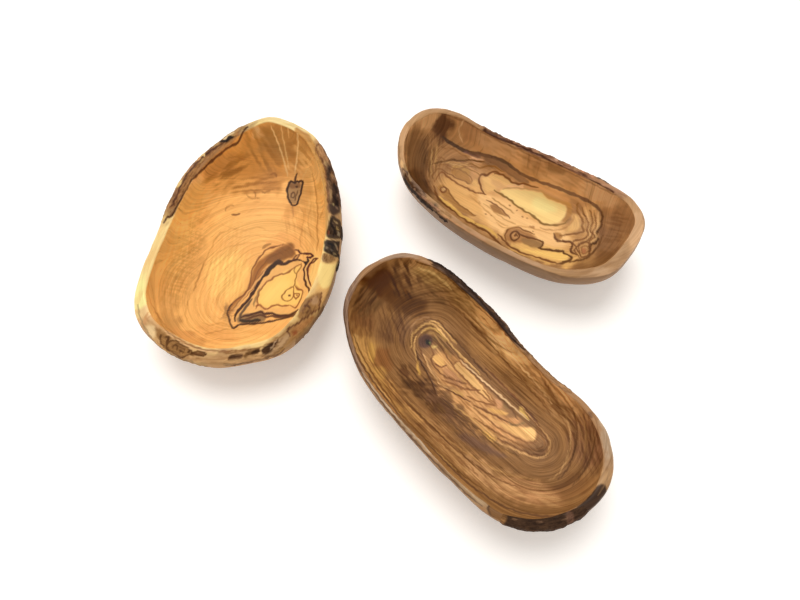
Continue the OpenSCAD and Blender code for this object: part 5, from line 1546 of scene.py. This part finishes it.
def bark_thickness(skin, seed, full):
    """How far the bark's skin stands over each point of the wood, in ragged plates."""
    plates, crumbs, wander, bays = (
        ripple(skin.reshape(-1, 3), size, seed + step).reshape(skin.shape[:2])
        for step, size in enumerate(BARK_WAVES))
    along, across = run_along(skin, 1), run_along(skin, 0)
    end_way = np.minimum(along, along[-1] - along)[None] + (wander * 0.9 + bays * 0.8) * MM
    low_way = across[:, None] + (wander * 0.9 + bays * 1.8) * MM - LOW_SETBACK
    lip_way = (across[-1] - across)[:, None] + wander * 0.3 * MM
    body = (ease(end_way / END_RISE) * ease(low_way / LOW_RISE)
            * (0.25 + 0.75 * ease(lip_way / LIP_RISE)) * ease(lip_way / LIP_EDGE))
    bare = 1 - np.minimum(ease(end_way / BARE_END), ease(low_way / BARE_LOW))
    thick = full * (body * (0.5 + 0.13 * plates + 0.09 * crumbs) - 0.1) - BARK_DIP * bare
    return np.minimum(thick, full * 0.95)


def build_bark(name, sizes):
    """Makes one bark remnant over the top of a dish's wall and its rim band."""
    dish = Dish(name.split("_")[0], sizes)
    start, end, finish = BARK_RUNS[name]
    first = len(BASE_SHARES) + int(WALL_RINGS * BARK_START)
    rings = np.arange(first, len(BASE_SHARES) + WALL_RINGS + BAND_RINGS)
    places = np.arange(round(start * AROUND), round(end * AROUND) + 1)
    grid = np.ix_(rings, places % AROUND)
    skin = dish.grid[grid]
    out = dish.normal[grid]
    thick = bark_thickness(skin, sum(map(ord, name)), sizes.bark)
    sides = np.array([skin + out * thick[..., None], skin - out * BARK_ROOT])
    piece = make_object(name + "_rough", sides.reshape(-1, 3), slab_faces(len(rings), len(places)))
    figure = FIGURES[dish.name]
    seen = Paint(photo_pixels(skin.reshape(-1, 3)), figure["band"]).colour * figure["lift"]
    straight, open_share = (values[grid].ravel() for values in light_of(dish))
    tint = without_light(seen, straight, open_share, figure["glow"])
    crusty = np.clip((CRUST_GREY - seen.mean(1)) / CRUST_RANGE, 0, 1)
    shown = ease((out.reshape(-1, 3) @ TO_CAMERA - HIDDEN_FACING) / SHOWN_RANGE)
    tint = tint * shown[:, None] + (1 - shown)[:, None] * linear(BARKS[finish][0])
    crusty = crusty * shown + 1 - shown
    spread = np.stack([*np.meshgrid(run_along(skin, 0), run_along(skin, 1), indexing="ij"),
                       np.zeros(skin.shape[:2])], 2)
    tint = np.column_stack([tint, np.ones(len(tint))])
    keep_vertex_values(piece, "tint", "FLOAT_COLOR", np.tile(tint, (2, 1)))
    keep_vertex_values(piece, "crust", "FLOAT", np.tile(crusty, 2))
    keep_vertex_values(piece, "spread", "FLOAT_VECTOR", np.tile(spread.reshape(-1, 3), (2, 1)))
    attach(piece, dish.body)
    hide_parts(name)
    piece.data.materials.append(bark_material(finish))
    return piece


def add(tree, kind, inputs=None, **settings):
    """Adds a node with its settings; an input that is a socket is linked, any other is set."""
    node = tree.nodes.new(kind)
    for name, value in settings.items():
        setattr(node, name, value)
    for name, value in (inputs or {}).items():
        if isinstance(value, bpy.types.NodeSocket):
            tree.links.new(value, node.inputs[name])
        else:
            node.inputs[name].default_value = value
    return node


def new_material(name):
    """An empty node material with its shader and output."""
    material = bpy.data.materials.new(name)
    material.use_nodes = True
    tree = material.node_tree
    tree.nodes.clear()
    shader = add(tree, "ShaderNodeBsdfPrincipled")
    add(tree, "ShaderNodeOutputMaterial", {"Surface": shader.outputs["BSDF"]})
    return material, tree, shader


# How a streak turns the wood's own colour: the deep end and the pale end of its range
STREAK_DARK = (0.50, 0.43, 0.33)
STREAK_PALE = (1.50, 1.57, 1.67)


def streaky_colour(tree, tint, amount):
    """The painted tint, made deeper or paler by an amount from 0 to 1."""
    turn = add(tree, "ShaderNodeMixRGB", {
        "Fac": amount, "Color1": (*STREAK_DARK, 1), "Color2": (*STREAK_PALE, 1)})
    return add(tree, "ShaderNodeMixRGB", {
        "Fac": 1.0, "Color1": tint, "Color2": turn.outputs["Color"]},
        blend_type="MULTIPLY").outputs["Color"]


def noise_over(tree, vector, sizes_mm, detail):
    """Stretched noise, less its middle value: its size in millimetres along each axis."""
    place = add(tree, "ShaderNodeMapping", {
        "Vector": vector, "Scale": tuple(1 / (size * MM) for size in sizes_mm)})
    noise = add(tree, "ShaderNodeTexNoise", {
        "Vector": place.outputs["Vector"], "Scale": 1.0, "Detail": detail, "Roughness": 0.6})
    return add(tree, "ShaderNodeMath", {0: noise.outputs["Fac"], 1: 0.5},
               operation="SUBTRACT").outputs[0]


def wood_material(name, streaks, pores, gloss):
    """Olive wood, carved, sanded and oiled: a satin face with fine brown growth lines.

    The streaks follow the growth layers in widths of 0.7, 2.2 and 6 mm, and the pores are dashes
    0.35 mm wide, drawn a little coarser than real ones so that they show."""
    material, tree, shader = new_material(name)
    tint = add(tree, "ShaderNodeAttribute", attribute_name="tint").outputs["Color"]
    grain = add(tree, "ShaderNodeAttribute", attribute_name="grain").outputs["Vector"]
    local = add(tree, "ShaderNodeAttribute", attribute_name="streak").outputs["Fac"]
    total = 0.0
    for sizes, detail, share in (((22, 22, 0.7), 2.0, 1.7), ((30, 30, 2.2), 2.0, 1.3),
                                 ((45, 45, 6), 1.0, 0.8)):
        layer = noise_over(tree, grain, sizes, detail)
        total = add(tree, "ShaderNodeMath", {0: layer, 1: share * streaks, 2: total},
                    operation="MULTIPLY_ADD").outputs[0]
    dashes = noise_over(tree, grain, (3, 3, 0.35), 1.0)
    pore = add(tree, "ShaderNodeMapRange", {"Value": dashes, "From Min": 0.13, "From Max": 0.24})
    pored = add(tree, "ShaderNodeMath", {0: pore.outputs["Result"], 1: -pores, 2: total},
                operation="MULTIPLY_ADD")
    amount = add(tree, "ShaderNodeMath", {0: pored.outputs[0], 1: local, 2: 0.5},
                 operation="MULTIPLY_ADD", use_clamp=True).outputs[0]
    tree.links.new(streaky_colour(tree, tint, amount), shader.inputs["Base Color"])
    rough = add(tree, "ShaderNodeMapRange", {
        "Value": amount, "To Min": gloss + 0.14, "To Max": gloss})
    tree.links.new(rough.outputs["Result"], shader.inputs["Roughness"])
    bump = add(tree, "ShaderNodeBump", {"Height": amount, "Strength": 0.2, "Distance": 0.12 * MM})
    tree.links.new(bump.outputs["Normal"], shader.inputs["Normal"])
    shader.inputs["IOR"].default_value = 1.45
    shader.inputs["Specular IOR Level"].default_value = 0.2
    return material


# What sets the barks apart: their shade where the photograph doesn't show them, how strongly
# crevices and flakes show, and how deep they are
BARKS = {
    "brown_bark": ("#6b4a34", 2.4, 1.4, 0.5),
    "dark_bark": ("#3c2c22", 2.6, 1.8, 0.6),
    "inner_bark": ("#94704c", 1.2, 0.8, 0.3),
}
MADE = {}


def bark_material(finish):
    """Dry olive bark, left rough: dull long plates with dark crevices and small pale flakes.

    The crevices run along the rim, 6 mm long and 1.2 mm wide; the flakes are 2 by 0.8 mm."""
    if finish in MADE:
        return MADE[finish]
    _, crevices, flakes, depth = BARKS[finish]
    material, tree, shader = new_material(finish)
    MADE[finish] = material
    tint = add(tree, "ShaderNodeAttribute", attribute_name="tint").outputs["Color"]
    crust = add(tree, "ShaderNodeAttribute", attribute_name="crust").outputs["Fac"]
    spread = add(tree, "ShaderNodeAttribute", attribute_name="spread").outputs["Vector"]
    long_ones = noise_over(tree, spread, (1.2, 6, 1), 4.0)
    small_ones = noise_over(tree, spread, (0.8, 2, 1), 3.0)
    total = add(tree, "ShaderNodeMath", {0: long_ones, 1: crevices}, operation="MULTIPLY")
    total = add(tree, "ShaderNodeMath", {0: small_ones, 1: flakes, 2: total.outputs[0]},
                operation="MULTIPLY_ADD")
    amount = add(tree, "ShaderNodeMath", {0: total.outputs[0], 1: crust, 2: 0.5},
                 operation="MULTIPLY_ADD", use_clamp=True).outputs[0]
    tree.links.new(streaky_colour(tree, tint, amount), shader.inputs["Base Color"])
    bump = add(tree, "ShaderNodeBump", {"Height": amount, "Strength": 0.6, "Distance": depth * MM})
    tree.links.new(bump.outputs["Normal"], shader.inputs["Normal"])
    shader.inputs["Roughness"].default_value = 0.8
    shader.inputs["Specular IOR Level"].default_value = 0.15
    return material


# What sets the three woods apart: strength of streaks and pores, and roughness of the oiled face
WOODS = {
    "round": ("honey_olive_wood", 0.38, 0.22, 0.42),
    "oval": ("figured_olive_wood", 0.5, 0.2, 0.40),
    "kidney": ("brown_olive_wood", 1.0, 0.2, 0.40),
}


def finish_dish(piece, name):
    """Gives a dish its own olive wood."""
    slot, streaks, pores, gloss = WOODS[name]
    piece.data.materials.append(wood_material(slot, streaks, pores, gloss))


def length_value(label, text, size_mm, low_mm, high_mm):
    """A length property in metres, given in millimetres."""
    return FloatProperty(name=label, description=text, default=size_mm * MM, min=low_mm * MM,
                         max=high_mm * MM, subtype="DISTANCE", unit="LENGTH", precision=4)


def turn_value(degrees):
    """The turn of a dish on the table."""
    return FloatProperty(name="Turn", description="Turn of the dish on the table",
                         default=math.radians(degrees), subtype="ANGLE", unit="ROTATION")


class RoundDishSettings(bpy.types.PropertyGroup):
    length: length_value("Length", "Length of the round dish along its own axis", 154, 130, 180)
    width: length_value("Width", "Width of the round dish", 102, 90, 120)
    height: length_value("Height", "Height of its highest rim", 38, 32, 46)
    floor: length_value("Floor", "Wood left under the hollow", 8, 6, 11)
    band: length_value("Rim band", "Usual width of the slanted rim band", 7.5, 5, 9)
    bark: length_value("Bark", "Full thickness of a bark remnant", 1.2, 1, 2.4)
    turn: turn_value(74)


class OvalDishSettings(bpy.types.PropertyGroup):
    length: length_value("Length", "Length of the oval dish along its own axis", 148, 125, 170)
    width: length_value("Width", "Width of the oval dish", 74, 68, 90)
    height: length_value("Height", "Height of its highest rim", 38, 32, 46)
    floor: length_value("Floor", "Wood left under the hollow", 8, 6, 11)
    band: length_value("Rim band", "Usual width of the rim band", 4, 3, 5)
    bark: length_value("Bark", "Full thickness of a bark remnant", 1.2, 1, 2.4)
    turn: turn_value(-30)


class KidneyDishSettings(bpy.types.PropertyGroup):
    length: length_value("Length", "Length of the kidney dish along its own axis", 162, 140, 185)
    width: length_value("Width", "Width of the kidney dish", 79, 70, 94)
    height: length_value("Height", "Height of its highest rim", 34, 29, 42)
    floor: length_value("Floor", "Wood left under the hollow", 7, 5, 10)
    band: length_value("Rim band", "Usual width of the rim band", 3, 2.5, 4)
    bark: length_value("Bark", "Full thickness of a bark remnant", 1.2, 1, 2.4)
    turn: turn_value(-48)


class StageSettings(bpy.types.PropertyGroup):
    table: FloatVectorProperty(
        name="Table", description="Colour of the pale table top", subtype="COLOR",
        default=linear("#f3f0ec"), min=0, max=1)
    side: length_value("Table side", "Side of the square table top", 3000, 1000, 6000)
    surround: FloatProperty(
        name="Surround", description="Strength of the plain light from all round",
        default=SURROUND_SHARE * LIGHT_GAIN, min=0, max=2)
    key: FloatProperty(
        name="Key", description="Strength of the soft key light from high up",
        default=1.84, min=0, max=10)
    key_spread: FloatProperty(
        name="Key spread", description="How wide the key light looks from the table",
        default=KEY_SPREAD, subtype="ANGLE", unit="ROTATION")
    table_glow: FloatProperty(
        name="Table glow", description="How much brighter the table is seen than it is lit",
        default=0.3, min=0, max=1)


class OLIVE_OT_round_dish(bpy.types.Operator):
    """Make the round dish"""
    bl_idname = "olive.round_dish"
    bl_label = "Round dish"

    def execute(self, context):
        finish_dish(build_dish("round", context.scene.olive_round), "round")
        return {"FINISHED"}


class OLIVE_OT_oval_dish(bpy.types.Operator):
    """Make the oval dish"""
    bl_idname = "olive.oval_dish"
    bl_label = "Oval dish"

    def execute(self, context):
        finish_dish(build_dish("oval", context.scene.olive_oval), "oval")
        return {"FINISHED"}


class OLIVE_OT_kidney_dish(bpy.types.Operator):
    """Make the kidney-shaped dish"""
    bl_idname = "olive.kidney_dish"
    bl_label = "Kidney dish"

    def execute(self, context):
        finish_dish(build_dish("kidney", context.scene.olive_kidney), "kidney")
        return {"FINISHED"}


class OLIVE_OT_bark(bpy.types.Operator):
    """Make the bark remnants on the rims of the three dishes"""
    bl_idname = "olive.bark"
    bl_label = "Bark remnants"

    def execute(self, context):
        for name in BARK_RUNS:
            build_bark(name, getattr(context.scene, "olive_" + name.split("_")[0]))
        return {"FINISHED"}


class OLIVE_OT_stage(bpy.types.Operator):
    """Set the camera, the plain light and the pale table top"""
    bl_idname = "olive.stage"
    bl_label = "Stage"

    def execute(self, context):
        settings = context.scene.olive_stage
        make_camera(context.scene)
        make_light(settings)
        make_table(settings)
        return {"FINISHED"}


def make_camera(scene):
    """The camera that the photograph was fitted with."""
    data = bpy.data.cameras.new("camera")
    data.sensor_width = SENSOR_WIDE_MM
    data.lens = PHOTO_FOCAL_PX * SENSOR_WIDE_MM / PHOTO_WIDE_PX
    data.clip_start = 10 * MM
    camera = bpy.data.objects.new("camera", data)
    camera.location = CAMERA_PLACE
    camera.rotation_euler = (math.pi / 2 - CAMERA_ELEVATION, 0, 0)
    scene.collection.objects.link(camera)
    scene.camera = camera


def seen_rays(tree):
    """1 for rays that the camera sees straight, in a sheen or through something clear."""
    path = add(tree, "ShaderNodeLightPath").outputs
    some = add(tree, "ShaderNodeMath", {0: path["Is Camera Ray"], 1: path["Is Glossy Ray"]},
               operation="ADD")
    return add(tree, "ShaderNodeMath", {0: some.outputs[0], 1: path["Is Transmission Ray"]},
               operation="ADD", use_clamp=True).outputs[0]


def make_light(settings):
    """A soft key from high up and a plain white surround."""
    data = bpy.data.lights.new("key", "SUN")
    data.energy = settings.key
    data.angle = settings.key_spread
    key = bpy.data.objects.new("key", data)
    key.rotation_euler = KEY_WAY.to_track_quat("Z", "Y").to_euler()
    bpy.context.scene.collection.objects.link(key)
    world = bpy.data.worlds.new("surround")
    world.use_nodes = True
    tree = world.node_tree
    tree.nodes.clear()
    plain = add(tree, "ShaderNodeBackground", {"Color": (1, 1, 1, 1), "Strength": settings.surround})
    white = add(tree, "ShaderNodeBackground", {"Color": (1, 1, 1, 1), "Strength": 1.0})
    mixed = add(tree, "ShaderNodeMixShader", {
        0: seen_rays(tree), 1: plain.outputs["Background"], 2: white.outputs["Background"]})
    add(tree, "ShaderNodeOutputWorld", {"Surface": mixed.outputs["Shader"]})
    bpy.context.scene.world = world


def make_table(settings):
    """A matt white table top, which is seen a little brighter but keeps its shadows."""
    half = settings.side / 2
    corners = np.array([(-half, -half, 0), (half, -half, 0), (half, half, 0), (-half, half, 0)])
    table = make_object("table_top", corners, [(0, 1, 2, 3)])
    material = bpy.data.materials.new("matt_white_table")
    material.use_nodes = True
    tree = material.node_tree
    tree.nodes.clear()
    matt = add(tree, "ShaderNodeBsdfDiffuse", {"Color": (*settings.table, 1)})
    share = add(tree, "ShaderNodeMath", {0: seen_rays(tree), 1: settings.table_glow},
                operation="MULTIPLY")
    glow = add(tree, "ShaderNodeEmission", {
        "Color": (*linear("#fff9f1"), 1), "Strength": share.outputs[0]})
    both = add(tree, "ShaderNodeAddShader", {0: matt.outputs["BSDF"], 1: glow.outputs["Emission"]})
    add(tree, "ShaderNodeOutputMaterial", {"Surface": both.outputs["Shader"]})
    table.data.materials.append(material)


class OLIVE_PT_set(bpy.types.Panel):
    """Lists the pieces, each with the sizes and colours that it is made from"""
    bl_label = "Olive dishes"
    bl_space_type = "VIEW_3D"
    bl_region_type = "UI"
    bl_category = "Olive dishes"

    def draw(self, context):
        scene = context.scene
        for operator, settings in PIECES:
            self.layout.operator(operator.bl_idname)
            if settings:
                group = getattr(scene, settings)
                for name in group.__annotations__:
                    self.layout.prop(group, name)


PIECES = ((OLIVE_OT_stage, "olive_stage"), (OLIVE_OT_round_dish, "olive_round"),
          (OLIVE_OT_oval_dish, "olive_oval"), (OLIVE_OT_kidney_dish, "olive_kidney"),
          (OLIVE_OT_bark, None))
GROUPS = {"olive_stage": StageSettings, "olive_round": RoundDishSettings,
          "olive_oval": OvalDishSettings, "olive_kidney": KidneyDishSettings}
CLASSES = (*GROUPS.values(), *(operator for operator, _ in PIECES), OLIVE_PT_set)


def register():
    """Makes the operators, the panel and the settings known to Blender."""
    for cls in CLASSES:
        bpy.utils.register_class(cls)
    for name, group in GROUPS.items():
        setattr(bpy.types.Scene, name, PointerProperty(type=group))


def unregister():
    """Takes them out again."""
    for name in GROUPS:
        delattr(bpy.types.Scene, name)
    for cls in reversed(CLASSES):
        bpy.utils.unregister_class(cls)


def main():
    """Makes the set on its stage."""
    register()
    bpy.ops.olive.stage()
    bpy.ops.olive.round_dish()
    bpy.ops.olive.oval_dish()
    bpy.ops.olive.kidney_dish()
    bpy.ops.olive.bark()
    scene = bpy.context.scene
    scene.view_settings.view_transform = "Standard"


if __name__ == "__main__":
    main()
